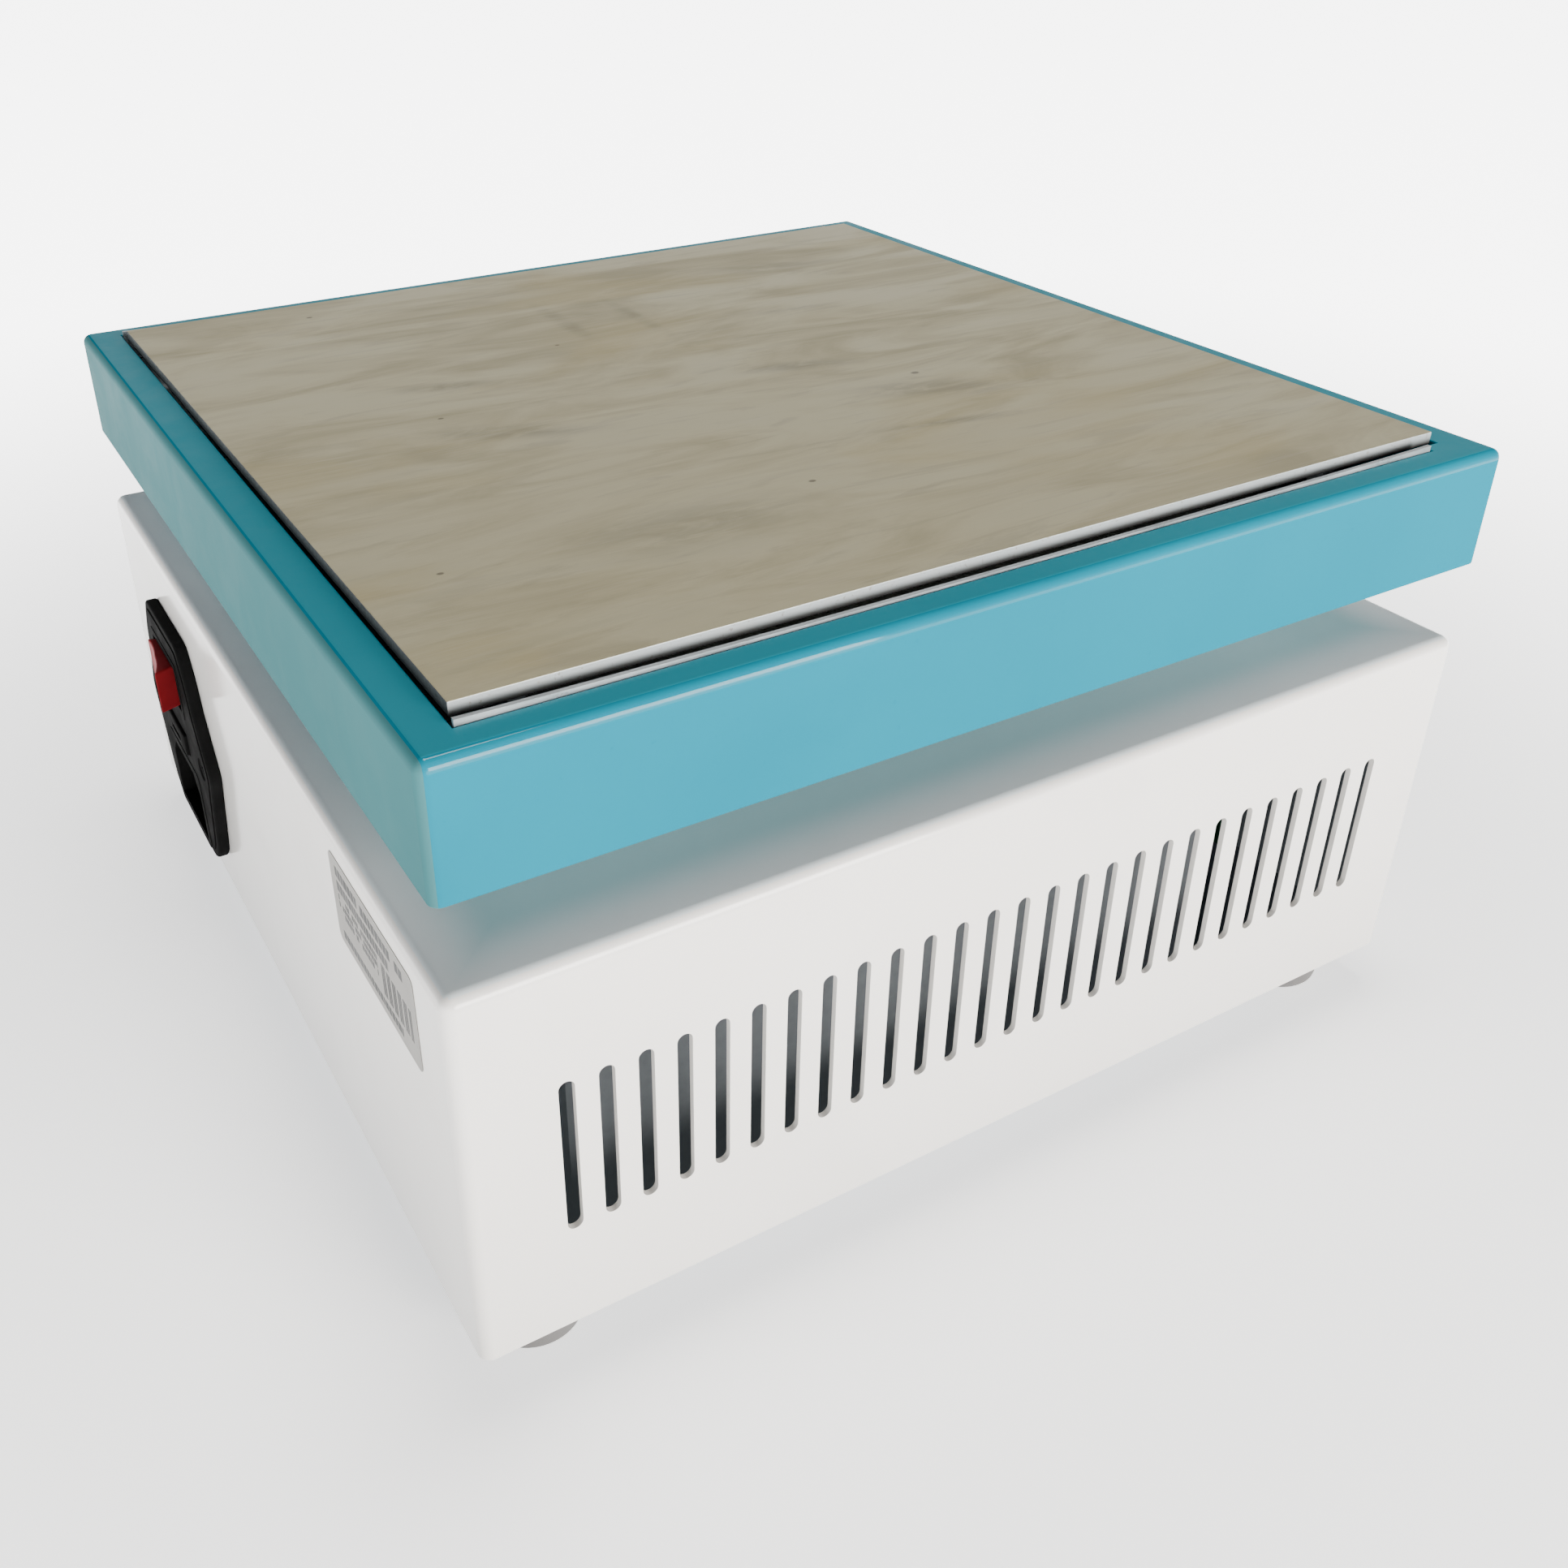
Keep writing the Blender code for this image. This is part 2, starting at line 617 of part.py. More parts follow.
def drive():
    bearing_housing("main_housing", 0.0, 0.0, BEARING_R + GAP)
    bore = SHAFT_R + GAP
    ring("main_bearing_low", bore, BEARING_R, 59.0 * MM, 64.0 * MM, CASE, (0.0, 0.0, 0.0), STEEL)
    ring("main_bearing_top", bore, BEARING_R, 84.0 * MM, 89.0 * MM, CASE, (0.0, 0.0, 0.0), STEEL)
    pivot = crank("main_crank", 0.0, 0.0, 28.0 * MM, "main_axis")
    counterweight(pivot)
    main_pulley(pivot)
    for number, (x, y) in enumerate(idler_places(), 1):
        bearing_housing(f"idler_housing_{number}", x, y, SHAFT_R + GAP)
        crank(f"idler_crank_{number}", x, y, 58.5 * MM, f"idler_axis_{number}")
    motor()
    belt()


def counterweight(pivot):
    """A half disc on the side away from the crank pin."""
    away = PARK_ANGLE + math.pi
    steps = 12
    outline = []
    for step in range(steps + 1):
        turn = away - math.pi / 2 + math.pi * step / steps
        outline.append((27 * MM * math.cos(turn), 27 * MM * math.sin(turn)))
    for step in range(steps // 2 + 1):
        turn = away + math.pi / 2 + math.pi * step / (steps // 2)
        outline.append((9 * MM * math.cos(turn), 9 * MM * math.sin(turn)))
    made = add("counterweight", slab(outline, 45 * MM, 56 * MM), pivot, look=BRASS)
    cut(made, "counterweight", rod(SHAFT_R + GAP, 40 * MM, 60 * MM))
    apply(made)


def main_pulley(pivot):
    inner = SHAFT_R + GAP
    profile = [
        (inner, 43.0 * MM), (MAIN_PULLEY_R + 2.2 * MM, 43.0 * MM), (MAIN_PULLEY_R + 2.2 * MM, 41.6 * MM),
        (MAIN_PULLEY_R, 41.6 * MM), (MAIN_PULLEY_R, 30.4 * MM), (MAIN_PULLEY_R + 2.2 * MM, 30.4 * MM),
        (MAIN_PULLEY_R + 2.2 * MM, 29.0 * MM), (inner, 29.0 * MM), (inner, 43.0 * MM),
    ]
    lathe("main_pulley", profile, pivot, (0.0, 0.0, 0.0), ALU, 32)


def motor():
    x, y = MOTOR_AT
    top = DECK_Z0 - GAP
    made = add("motor", rod(MOTOR_R, 47.0 * MM, top, x, y, sides=28), CASE, look=STEEL)
    bevel(made, 1.2 * MM, 2)
    join(made, "motor", rod(6.0 * MM, top - MM, top + 3.0 * MM, x, y),
         rod(7.0 * MM, 44.6 * MM, 48.0 * MM, x, y))
    cut(made, "motor", rod(2.9 * MM, 40.0 * MM, 60.0 * MM, x, y))
    apply(made)
    pivot = empty("motor_axis", (x, y, 0.0), CASE)
    radius = MOTOR_PULLEY_R
    profile = [
        (0.0, 58.0 * MM), (2.5 * MM, 58.0 * MM), (2.5 * MM, 43.0 * MM), (radius + 2.2 * MM, 43.0 * MM),
        (radius + 2.2 * MM, 41.6 * MM), (radius, 41.6 * MM), (radius, 30.4 * MM),
        (radius + 2.2 * MM, 30.4 * MM),
        (radius + 2.2 * MM, 29.0 * MM), (0.0, 29.0 * MM),
    ]
    lathe("motor_pulley", profile, pivot, (0.0, 0.0, 0.0), ALU, 20)


def belt_outline(extra):
    """The taut loop round both pulleys, at a distance outside their surfaces."""
    x, y = MOTOR_AT
    distance = math.hypot(x, y)
    heading = math.atan2(y, x)
    spread = math.acos((MAIN_PULLEY_R - MOTOR_PULLEY_R) / distance)
    steps = 14
    outline = []
    for step in range(steps + 1):
        turn = heading - spread + 2 * spread * step / steps
        radius = MOTOR_PULLEY_R + extra
        outline.append((x + radius * math.cos(turn), y + radius * math.sin(turn)))
    for step in range(2 * steps + 1):
        turn = heading + spread + (2 * math.pi - 2 * spread) * step / (2 * steps)
        radius = MAIN_PULLEY_R + extra
        outline.append((radius * math.cos(turn), radius * math.sin(turn)))
    return outline


def belt():
    made = add("belt", slab(belt_outline(0.5 * MM + BELT_T), BELT_Z0, BELT_Z1), CASE, look=BELT)
    cut(made, "belt", slab(belt_outline(0.5 * MM), BELT_Z0 - MM, BELT_Z1 + MM))
    apply(made)


def platform_carrier():
    """A stiff plate with a bearing seat over each crank."""
    half = FRAME_W / 2 - FRAME_T - GAP
    top = CARRIER_Z0 + CARRIER_T
    made = add("platform_carrier", box((-half, -half, CARRIER_Z0), (half, half, top)), PLATFORM, look=ALU)
    bevel(made, 1.5 * MM, 1)
    seats = [rod(9.8 * MM, 100 * MM, 120 * MM, x, y) for x, y in [(0.0, 0.0)] + idler_places()]
    cut(made, "platform_carrier", several(*seats))
    apply(made)
    for name, x, y in [("pin_bearing_main", 0.0, 0.0)] + [
        (f"pin_bearing_{number}", x, y) for number, (x, y) in enumerate(idler_places(), 1)
    ]:
        ring(name, PIN_R + GAP, 9.5 * MM, CARRIER_Z0, top, PLATFORM, (x, y, 0.0), STEEL, 20)


def platform_frame():
    """Downward-open sheet frame with a square window."""
    half = FRAME_W / 2
    blank = box((-half, -half, FRAME_Z0 - FRAME_EDGE), (half, half, FRAME_Z1))
    made = add("platform_frame", blank, PLATFORM, look=TEAL)
    bevel(made, FRAME_EDGE, 3)
    inner = half - FRAME_T
    cut(
        made, "platform_frame",
        box((-1.0, -1.0, 0.0), (1.0, 1.0, FRAME_Z0)),
        box((-inner, -inner, 0.05), (inner, inner, FRAME_Z1 - FRAME_T)),
        box((-WINDOW_X / 2, WINDOW_Y0, 0.1), (WINDOW_X / 2, WINDOW_Y1, 0.2)),
        box((-NOTCH_X / 2, PAN_Y0 - GAP, 0.1), (NOTCH_X / 2, WINDOW_Y1, 0.2)),
    )
    apply(made)


def heated_top():
    low = CARRIER_Z0 + CARRIER_T + GAP
    half_x = NOTCH_X / 2 - GAP
    blank = box((-half_x, PAN_Y0, low), (half_x, PAN_Y1, PAN_TOP))
    pan = add("reflector_pan", blank, PLATFORM, look=BRIGHT)
    tray = box((-half_x + PAN_T, -0.2, low + PAN_T), (half_x - PAN_T, 0.2, 0.2))
    holes = [rod(3.4 * MM, 0.1, 0.12, x, y, sides=12) for x, y in standoff_places()]
    cut(pan, "reflector_pan", tray, several(*holes))
    apply(pan)
    base = low + PAN_T + GAP
    under = PLATE_TOP - PLATE_T - GAP
    half = HEATER_W / 2
    filling = box((-half, -half, base), (half, half, 125.2 * MM))
    board = add("insulation_board", filling, PLATFORM, look=FIBRE)
    bevel(board, 1.0 * MM, 1)
    mat = add("heater_mat", box((-half, -half, 125.5 * MM), (half, half, under)), PLATFORM, look=SILICONE)
    bevel(mat, 0.4 * MM, 1)
    for number, (x, y) in enumerate(standoff_places(), 1):
        add(f"standoff_{number}", rod(3.0 * MM, low, under, x, y, sides=6), PLATFORM, look=STEEL)
    add("temperature_probe", rod(3.5 * MM, base, under, 90 * MM, 0.0, sides=16), PLATFORM, look=STEEL)
    plate = add(
        "top_plate",
        box((-PLATE_X / 2, -PLATE_Y / 2, PLATE_TOP - PLATE_T), (PLATE_X / 2, PLATE_Y / 2, PLATE_TOP)),
        PLATFORM, look=BARE,
    )
    bevel(plate, 0.35 * MM, 2)


def standoff_places():
    return [(x, y) for x in (-STANDOFF_AT, STANDOFF_AT) for y in (-STANDOFF_AT, STANDOFF_AT)]


def power_supply():
    low = CASE_Z0 + 1.8 * MM + GAP
    body = box((38 * MM, -86 * MM, low), (88 * MM, -66 * MM, low + 44 * MM))
    made = add("power_supply", body, CASE, look=GALV)
    bevel(made, 1.0 * MM, 1)


case_cover()
bottom_plate()
feet()
inlet()
rocker()
fuse_drawer()
rating_label()
front_controls()
knob()
control_board()
chassis()
drive()
platform_carrier()
platform_frame()
heated_top()
power_supply()
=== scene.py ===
"""The looks of the orbital shaker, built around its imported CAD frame. Metres, +Z up.

The case stands on four feet, with the controls on -Y and the mains inlet on +Y. Above it the
heated platform rides on crank pins. Every piece is modelled in place, so that a material's
object coordinates are the row frame's.
"""

import math
import random

import bmesh
import bpy
from mathutils import Matrix, Vector


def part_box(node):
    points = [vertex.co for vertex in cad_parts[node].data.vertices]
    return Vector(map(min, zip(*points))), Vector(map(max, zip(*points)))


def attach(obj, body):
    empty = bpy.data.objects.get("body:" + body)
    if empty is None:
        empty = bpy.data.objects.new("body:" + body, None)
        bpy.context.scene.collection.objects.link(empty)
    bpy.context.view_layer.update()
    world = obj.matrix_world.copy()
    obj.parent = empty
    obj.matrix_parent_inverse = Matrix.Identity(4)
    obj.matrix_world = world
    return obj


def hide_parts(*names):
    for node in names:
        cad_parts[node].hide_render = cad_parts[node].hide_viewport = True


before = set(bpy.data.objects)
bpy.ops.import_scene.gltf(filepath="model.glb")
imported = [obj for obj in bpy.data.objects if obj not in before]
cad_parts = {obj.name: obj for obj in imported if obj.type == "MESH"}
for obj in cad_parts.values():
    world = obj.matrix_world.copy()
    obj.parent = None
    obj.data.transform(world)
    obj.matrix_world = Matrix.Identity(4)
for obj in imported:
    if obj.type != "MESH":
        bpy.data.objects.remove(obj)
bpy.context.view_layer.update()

MM = 0.001

# Places, from the frame
CASE_LOW, CASE_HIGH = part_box("case_cover")
CASE = (CASE_LOW + CASE_HIGH) / 2
TOP_LOW, TOP_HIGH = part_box("top_plate")
PLATFORM = (TOP_LOW + TOP_HIGH) / 2
RIM_LOW, RIM_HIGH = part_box("platform_frame")
PAN_LOW, PAN_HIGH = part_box("reflector_pan")
INLET_LOW, INLET_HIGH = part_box("inlet_housing")
INLET_X = (INLET_LOW.x + INLET_HIGH.x) / 2
LABEL_LOW, LABEL_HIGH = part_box("rating_label")
FASCIA_LOW, FASCIA_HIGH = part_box("fascia")
REAR = CASE_HIGH.y
FRONT = CASE_LOW.y
KEY_NAMES = ("start", "speed", "time", "heat")

# Sheet metal
WALL = 1.2 * MM
CASE_EDGE = 2.4 * MM
RIM_EDGE = 2.0 * MM
RIM_WALL = 1.5 * MM
WINDOW_X = 204.6 * MM
WINDOW_Y0 = -102.8 * MM
WINDOW_Y1 = 103.3 * MM
NOTCH_X = 209.6 * MM
SKIRT = 12 * MM         # a shell is first made this much deeper, then cut off square
MARGIN = 10 * MM        # how far a cutting shape reaches past what it cuts
HOUSING_HOLE_R = 11.6 * MM
KEY_HOLE_R = 4.5 * MM

# Mains inlet: the body behind the flange, and heights above the floor
BODY_HALF = 13.9 * MM
BODY_Z0 = 21.3 * MM
BODY_Z1 = 75.0 * MM
BODY_GAP = 0.4 * MM
ROCKER_Z = 63.0 * MM
FUSE_Z = 47.6 * MM
SOCKET_Z = 31.4 * MM

# Vents
VENT_COUNT = 27
VENT_PITCH = 7.04 * MM
VENT_W = 2.9 * MM
VENT_Z0 = 33.2 * MM
VENT_Z1 = 65.8 * MM


# ---------------------------------------------------------------- mesh helpers

def finish_mesh(name, shape, smooth_below=35.0):
    """Turn a bmesh into an object whose edges under an angle are smooth."""
    mesh = bpy.data.meshes.new(name)
    bmesh.ops.recalc_face_normals(shape, faces=shape.faces[:])
    shape.to_mesh(mesh)
    shape.free()
    made = bpy.data.objects.new(name, mesh)
    bpy.context.scene.collection.objects.link(made)
    soften(made, smooth_below)
    return made


def soften(made, smooth_below=35.0):
    for face in made.data.polygons:
        face.use_smooth = True
    made.data.set_sharp_from_angle(angle=math.radians(smooth_below))


def bake(made):
    """Replace an object's mesh by the result of its modifiers."""
    graph = bpy.context.evaluated_depsgraph_get()
    result = bpy.data.meshes.new_from_object(made.evaluated_get(graph))
    made.modifiers.clear()
    made.data = result
    soften(made)


def add_box(shape, low, high):
    made = bmesh.ops.create_cube(shape, size=1.0)
    low = Vector(low)
    high = Vector(high)
    bmesh.ops.scale(shape, vec=high - low, verts=made["verts"])
    bmesh.ops.translate(shape, vec=(low + high) / 2, verts=made["verts"])
    return made["verts"]


def add_rod(shape, radius, low, high, place, axis="Z", sides=48, end_radius=None):
    """A cylinder from low to high along its axis, at a place across it."""
    made = bmesh.ops.create_cone(
        shape, cap_ends=True, segments=sides, radius1=radius,
        radius2=radius if end_radius is None else end_radius, depth=high - low,
    )
    verts = made["verts"]
    bmesh.ops.translate(shape, vec=(0.0, 0.0, (low + high) / 2), verts=verts)
    if axis == "Y":
        turn = Matrix.Rotation(-math.pi / 2, 3, "X")
        bmesh.ops.rotate(shape, cent=(0.0, 0.0, 0.0), matrix=turn, verts=verts)
        bmesh.ops.translate(shape, vec=(place[0], 0.0, place[1]), verts=verts)
    else:
        bmesh.ops.translate(shape, vec=(place[0], place[1], 0.0), verts=verts)
    return verts


def add_slab(shape, outline, low, high, axis="Y"):
    """A flat outline pushed along X, Y or Z."""
    ring = []
    for a, b in outline:
        point = {"X": (low, a, b), "Y": (a, low, b), "Z": (a, b, low)}[axis]
        ring.append(shape.verts.new(point))
    face = shape.faces.new(ring)
    step = {"X": (high - low, 0.0, 0.0), "Y": (0.0, high - low, 0.0), "Z": (0.0, 0.0, high - low)}[axis]
    made = bmesh.ops.extrude_face_region(shape, geom=[face])
    moved = [item for item in made["geom"] if isinstance(item, bmesh.types.BMVert)]
    bmesh.ops.translate(shape, vec=step, verts=moved)


def rounded(width, height, radius, centre, steps=6):
    """The outline of a rectangle with round corners."""
    outline = []
    corners = ((1, 1, 0), (-1, 1, 90), (-1, -1, 180), (1, -1, 270))
    for side_x, side_y, start in corners:
        x = centre[0] + side_x * (width / 2 - radius)
        y = centre[1] + side_y * (height / 2 - radius)
        for step in range(steps + 1):
            turn = math.radians(start + 90.0 * step / steps)
            outline.append((x + radius * math.cos(turn), y + radius * math.sin(turn)))
    return outline


def object_from(name, fill):
    shape = bmesh.new()
    fill(shape)
    return finish_mesh(name, shape)


def cut(made, fill, operation="DIFFERENCE"):
    """Cut a shape out of an object, or add it."""
    tool = object_from("tool", fill)
    modifier = made.modifiers.new("cut", "BOOLEAN")
    modifier.operation = operation
    modifier.solver = "EXACT"
    modifier.object = tool
    bake(made)
    bpy.data.objects.remove(tool, do_unlink=True)


def round_edges(made, width, segments=4, angle=40.0):
    modifier = made.modifiers.new("edges", "BEVEL")
    modifier.width = width
    modifier.segments = segments
    modifier.limit_method = "ANGLE"
    modifier.angle_limit = math.radians(angle)
    modifier.harden_normals = False
    bake(made)


def even_normals(made):
    """Keep big flat faces flat where they meet small roundings."""
    modifier = made.modifiers.new("normals", "WEIGHTED_NORMAL")
    modifier.keep_sharp = True
    modifier.weight = 100


def bridge(shape, rings, steps):
    """Join each ring of points to the next; a ring of one point is a tip."""
    for first, second in zip(rings, rings[1:]):
        for step in range(steps):
            after = (step + 1) % steps
            corners = [first[step % len(first)], first[after % len(first)],
                       second[after % len(second)], second[step % len(second)]]
            unique = list(dict.fromkeys(corners))
            if len(unique) > 2:
                shape.faces.new(unique)


def lathe(name, profile, place, steps=64, axis="Z"):
    """Turn a profile of (radius, distance) points about an axis through a place."""
    shape = bmesh.new()
    rings = []
    for radius, along in profile:
        if radius < 1e-7:
            rings.append([shape.verts.new((0.0, 0.0, along))])
            continue
        ring = []
        for step in range(steps):
            turn = 2 * math.pi * step / steps
            ring.append(shape.verts.new((radius * math.cos(turn), radius * math.sin(turn), along)))
        rings.append(ring)
    bridge(shape, rings, steps)
    if axis == "Y":
        turn = Matrix.Rotation(-math.pi / 2, 3, "X")
        bmesh.ops.rotate(shape, cent=(0.0, 0.0, 0.0), matrix=turn, verts=shape.verts[:])
    bmesh.ops.translate(shape, vec=place, verts=shape.verts[:])
    return finish_mesh(name, shape)


# ---------------------------------------------------------------- material helpers

class Look:
    """A Principled material with small helpers for wiring procedural detail into it."""

    def __init__(self, name, colour, roughness, metallic=0.0, **inputs):
        self.material = bpy.data.materials.new(name)
        self.material.use_nodes = True
        self.tree = self.material.node_tree
        self.shader = self.tree.nodes["Principled BSDF"]
        self.set("Base Color", (*colour, 1.0))
        self.set("Roughness", roughness)
        self.set("Metallic", metallic)
        for socket, value in inputs.items():
            self.set(socket.replace("_", " "), value)
        self.material.diffuse_color = (*colour, 1.0)
        self.place = None
        self.bumps = None

    def set(self, socket, value):
        self.shader.inputs[socket].default_value = value

    def node(self, kind, **settings):
        made = self.tree.nodes.new(kind)
        for key, value in settings.items():
            setattr(made, key, value)
        return made

    def link(self, source, target):
        self.tree.links.new(source, target)

    def position(self):
        if self.place is None:
            self.place = self.node("ShaderNodeTexCoord").outputs["Object"]
        return self.place

    def mapped(self, scale=(1.0, 1.0, 1.0), turn=0.0, place=(0.0, 0.0, 0.0)):
        made = self.node("ShaderNodeMapping", vector_type="TEXTURE")
        made.inputs["Location"].default_value = place
        made.inputs["Rotation"].default_value = (0.0, 0.0, turn)
        made.inputs["Scale"].default_value = scale
        self.link(self.position(), made.inputs["Vector"])
        return made.outputs["Vector"]

    def noise(self, size, detail=3.0, roughness=0.5, stretch=(1.0, 1.0, 1.0), twist=0.0):
        """Noise whose features are about size metres across, times the stretch of each axis."""
        made = self.node("ShaderNodeTexNoise")
        made.inputs["Scale"].default_value = 1.0
        made.inputs["Detail"].default_value = detail
        made.inputs["Roughness"].default_value = roughness
        made.inputs["Distortion"].default_value = twist
        self.link(self.mapped([size * part for part in stretch]), made.inputs["Vector"])
        return made.outputs["Fac"]

    def remap(self, value, low, high, out_low=0.0, out_high=1.0):
        made = self.node("ShaderNodeMapRange", interpolation_type="SMOOTHSTEP")
        ends = {"From Min": low, "From Max": high, "To Min": out_low, "To Max": out_high}
        for key, number in ends.items():
            made.inputs[key].default_value = number
        self.link(value, made.inputs["Value"])
        return made.outputs["Result"]

    def math(self, operation, first, second=None):
        made = self.node("ShaderNodeMath", operation=operation)
        for index, value in enumerate((first, second)):
            if value is None:
                continue
            if isinstance(value, (int, float)):
                made.inputs[index].default_value = value
            else:
                self.link(value, made.inputs[index])
        return made.outputs[0]

    def tint(self, amount, colour):
        """Blend a colour over the base colour where amount is high."""
        made = self.node("ShaderNodeMix", data_type="RGBA")
        target = self.shader.inputs["Base Color"]
        if target.is_linked:
            self.link(target.links[0].from_socket, made.inputs["A"])
        else:
            made.inputs["A"].default_value = target.default_value[:]
        made.inputs["B"].default_value = (*colour, 1.0)
        made.inputs[0].default_value = 0.0
        self.link(amount, made.inputs[0])
        self.link(made.outputs["Result"], target)

    def drive(self, socket, value):
        self.link(value, self.shader.inputs[socket])

    def bump(self, height, distance, strength=1.0):
        made = self.node("ShaderNodeBump")
        made.inputs["Strength"].default_value = strength
        made.inputs["Distance"].default_value = distance
        self.link(height, made.inputs["Height"])
        if self.bumps is not None:
            self.link(self.bumps, made.inputs["Normal"])
        self.bumps = made.outputs["Normal"]
        self.link(self.bumps, self.shader.inputs["Normal"])


def powder_coat(name, colour, dark, light, roughness, index, coat, gloss=0.09):
    """Satin powder coat: fine orange peel, slow tone changes, specks of dust and faint rubs."""
    made = Look(
        name, colour, roughness,
        IOR=index, Coat_Weight=coat, Coat_Roughness=gloss,
    )
    made.tint(made.remap(made.noise(0.06, 3), 0.35, 0.75, 0.0, 0.6), light)
    made.tint(made.remap(made.noise(0.035, 4, twist=0.6), 0.5, 0.8, 0.0, 0.35), dark)
    made.tint(made.remap(made.noise(0.0012, 1), 0.72, 0.80, 0.0, 0.25), dark)
    rubs = made.noise(0.012, 4, 0.6, twist=0.4)
    made.drive("Roughness", made.remap(rubs, 0.3, 0.75, roughness - 0.04, roughness + 0.10))
    made.bump(made.noise(0.0016, 2), 0.00003, 0.30)
    made.bump(made.noise(0.0004, 2), 0.00001, 0.25)
    return made


def metal(name, colour, dark, roughness, stretch=(1.0, 1.0, 1.0), size=0.002, metallic=1.0):
    """Plain metal with fine working marks along one axis and slow dulling."""
    made = Look(name, colour, roughness, metallic)
    made.tint(made.remap(made.noise(0.02, 4), 0.4, 0.8, 0.0, 0.7), dark)
    marks = made.noise(size, 4, 0.6, stretch)
    made.tint(made.remap(marks, 0.5, 0.75, 0.0, 0.25), dark)
    made.drive("Roughness", made.remap(marks, 0.3, 0.7, roughness - 0.08, roughness + 0.12))
    made.bump(marks, 0.00004, 0.5)
    return made


def plastic(name, colour, light, roughness, grain=0.0006, depth=0.00003, index=1.5):
    """Moulded plastic or rubber with a fine grain and a little dust."""
    made = Look(name, colour, roughness, IOR=index)
    made.tint(made.remap(made.noise(0.012, 4), 0.45, 0.8, 0.0, 0.5), light)
    made.tint(made.remap(made.noise(0.0009, 1), 0.70, 0.78, 0.0, 0.3), light)
    made.drive("Roughness", made.remap(made.noise(0.008, 3), 0.3, 0.7, roughness - 0.06, roughness + 0.1))
    made.bump(made.noise(grain, 2), depth, 0.6)
    return made


# ---------------------------------------------------------------- materials

# Indices of refraction are set low, so that grazing faces show no glare that the photo lacks
WHITE = powder_coat(
    "white_powder_coat",
    (0.80, 0.775, 0.735), (0.70, 0.678, 0.643), (0.83, 0.81, 0.78), 0.42, 1.20, 0.85, 0.11)
# One teal paint in four tones, by face: they follow the photo's light and are not four paints
TEAL = powder_coat(
    "teal_powder_coat", (0.0, 0.148, 0.214), (0.0, 0.123, 0.182), (0.0, 0.163, 0.234), 0.40, 1.02, 0.02)
TEAL_EDGE = powder_coat(
    "teal_powder_coat_edge",
    (0.0, 0.148, 0.214), (0.0, 0.123, 0.182), (0.0, 0.17, 0.24), 0.40, 1.03, 0.38, 0.04)
TEAL_LIT_TOP = powder_coat(
    "teal_powder_coat_lit_top",
    (0.012, 0.215, 0.28), (0.010, 0.185, 0.245), (0.016, 0.235, 0.305), 0.35, 1.12, 0.06)
TEAL_SHADED_REAR = powder_coat(
    "teal_powder_coat_shaded_rear",
    (0.045, 0.145, 0.155), (0.036, 0.12, 0.13), (0.052, 0.16, 0.17), 0.40, 1.02, 0.02)
STEEL = metal("turned_steel", (0.58, 0.59, 0.60), (0.36, 0.36, 0.37), 0.34, (1.0, 1.0, 0.15))
GALVANISED = metal("galvanised_sheet", (0.34, 0.37, 0.40), (0.22, 0.25, 0.28), 0.42, size=0.006)
CAST = metal("cast_aluminium", (0.66, 0.67, 0.69), (0.48, 0.49, 0.50), 0.5, size=0.0008)
BRIGHT = metal("bright_sheet", (0.60, 0.64, 0.66), (0.48, 0.51, 0.52), 0.34, (1.0, 8.0, 1.0), 0.0012, 0.6)
BRASS = metal("brass", (0.72, 0.52, 0.22), (0.48, 0.33, 0.13), 0.32, (1.0, 6.0, 1.0), 0.0008)
BLACK = plastic("black_plastic", (0.008, 0.008, 0.008), (0.016, 0.016, 0.016), 0.60, index=1.04)
FOOT = plastic("grey_rubber", (0.12, 0.117, 0.114), (0.19, 0.185, 0.18), 0.75, 0.0009, 0.00006)
BELT = plastic("belt_rubber", (0.02, 0.02, 0.02), (0.06, 0.06, 0.06), 0.7)
FASCIA = plastic("grey_fascia", (0.16, 0.18, 0.19), (0.22, 0.24, 0.25), 0.5)
KEYS = plastic("button_rubber", (0.62, 0.64, 0.65), (0.72, 0.74, 0.75), 0.6)
BOARD = plastic("circuit_board", (0.02, 0.16, 0.07), (0.03, 0.24, 0.11), 0.4)
FIBRE = plastic("insulation_fibre", (0.66, 0.61, 0.52), (0.78, 0.74, 0.66), 0.9, 0.0005, 0.0002)
SILICONE = plastic("heater_silicone", (0.38, 0.07, 0.03), (0.46, 0.12, 0.06), 0.55)
PRINT = plastic("label_print", (0.035, 0.035, 0.036), (0.10, 0.10, 0.10), 0.6)
PALE_PRINT = plastic("pale_print", (0.70, 0.72, 0.73), (0.60, 0.62, 0.63), 0.5)


def red_rocker():
    """Red plastic with a little light passing through it."""
    made = Look("red_plastic", (0.23, 0.013, 0.017), 0.45, IOR=1.12)
    made.set("Subsurface Weight", 0.15)
    made.set("Subsurface Radius", (0.004, 0.0008, 0.0005))
    made.tint(made.remap(made.noise(0.006, 3), 0.4, 0.8, 0.0, 0.5), (0.17, 0.010, 0.013))
    made.bump(made.noise(0.0012, 2), 0.00002, 0.4)
    return made


def smoked_window():
    """Dark glossy window with faint smears and finger marks."""
    made = Look("dark_window", (0.008, 0.011, 0.014), 0.10, IOR=1.25)
    smears = made.noise(0.010, 5, 0.6, (1.0, 1.0, 2.5), 0.8)
    made.tint(made.remap(smears, 0.5, 0.8, 0.0, 0.5), (0.03, 0.035, 0.04))
    made.drive("Roughness", made.remap(smears, 0.4, 0.75, 0.06, 0.22))
    return made


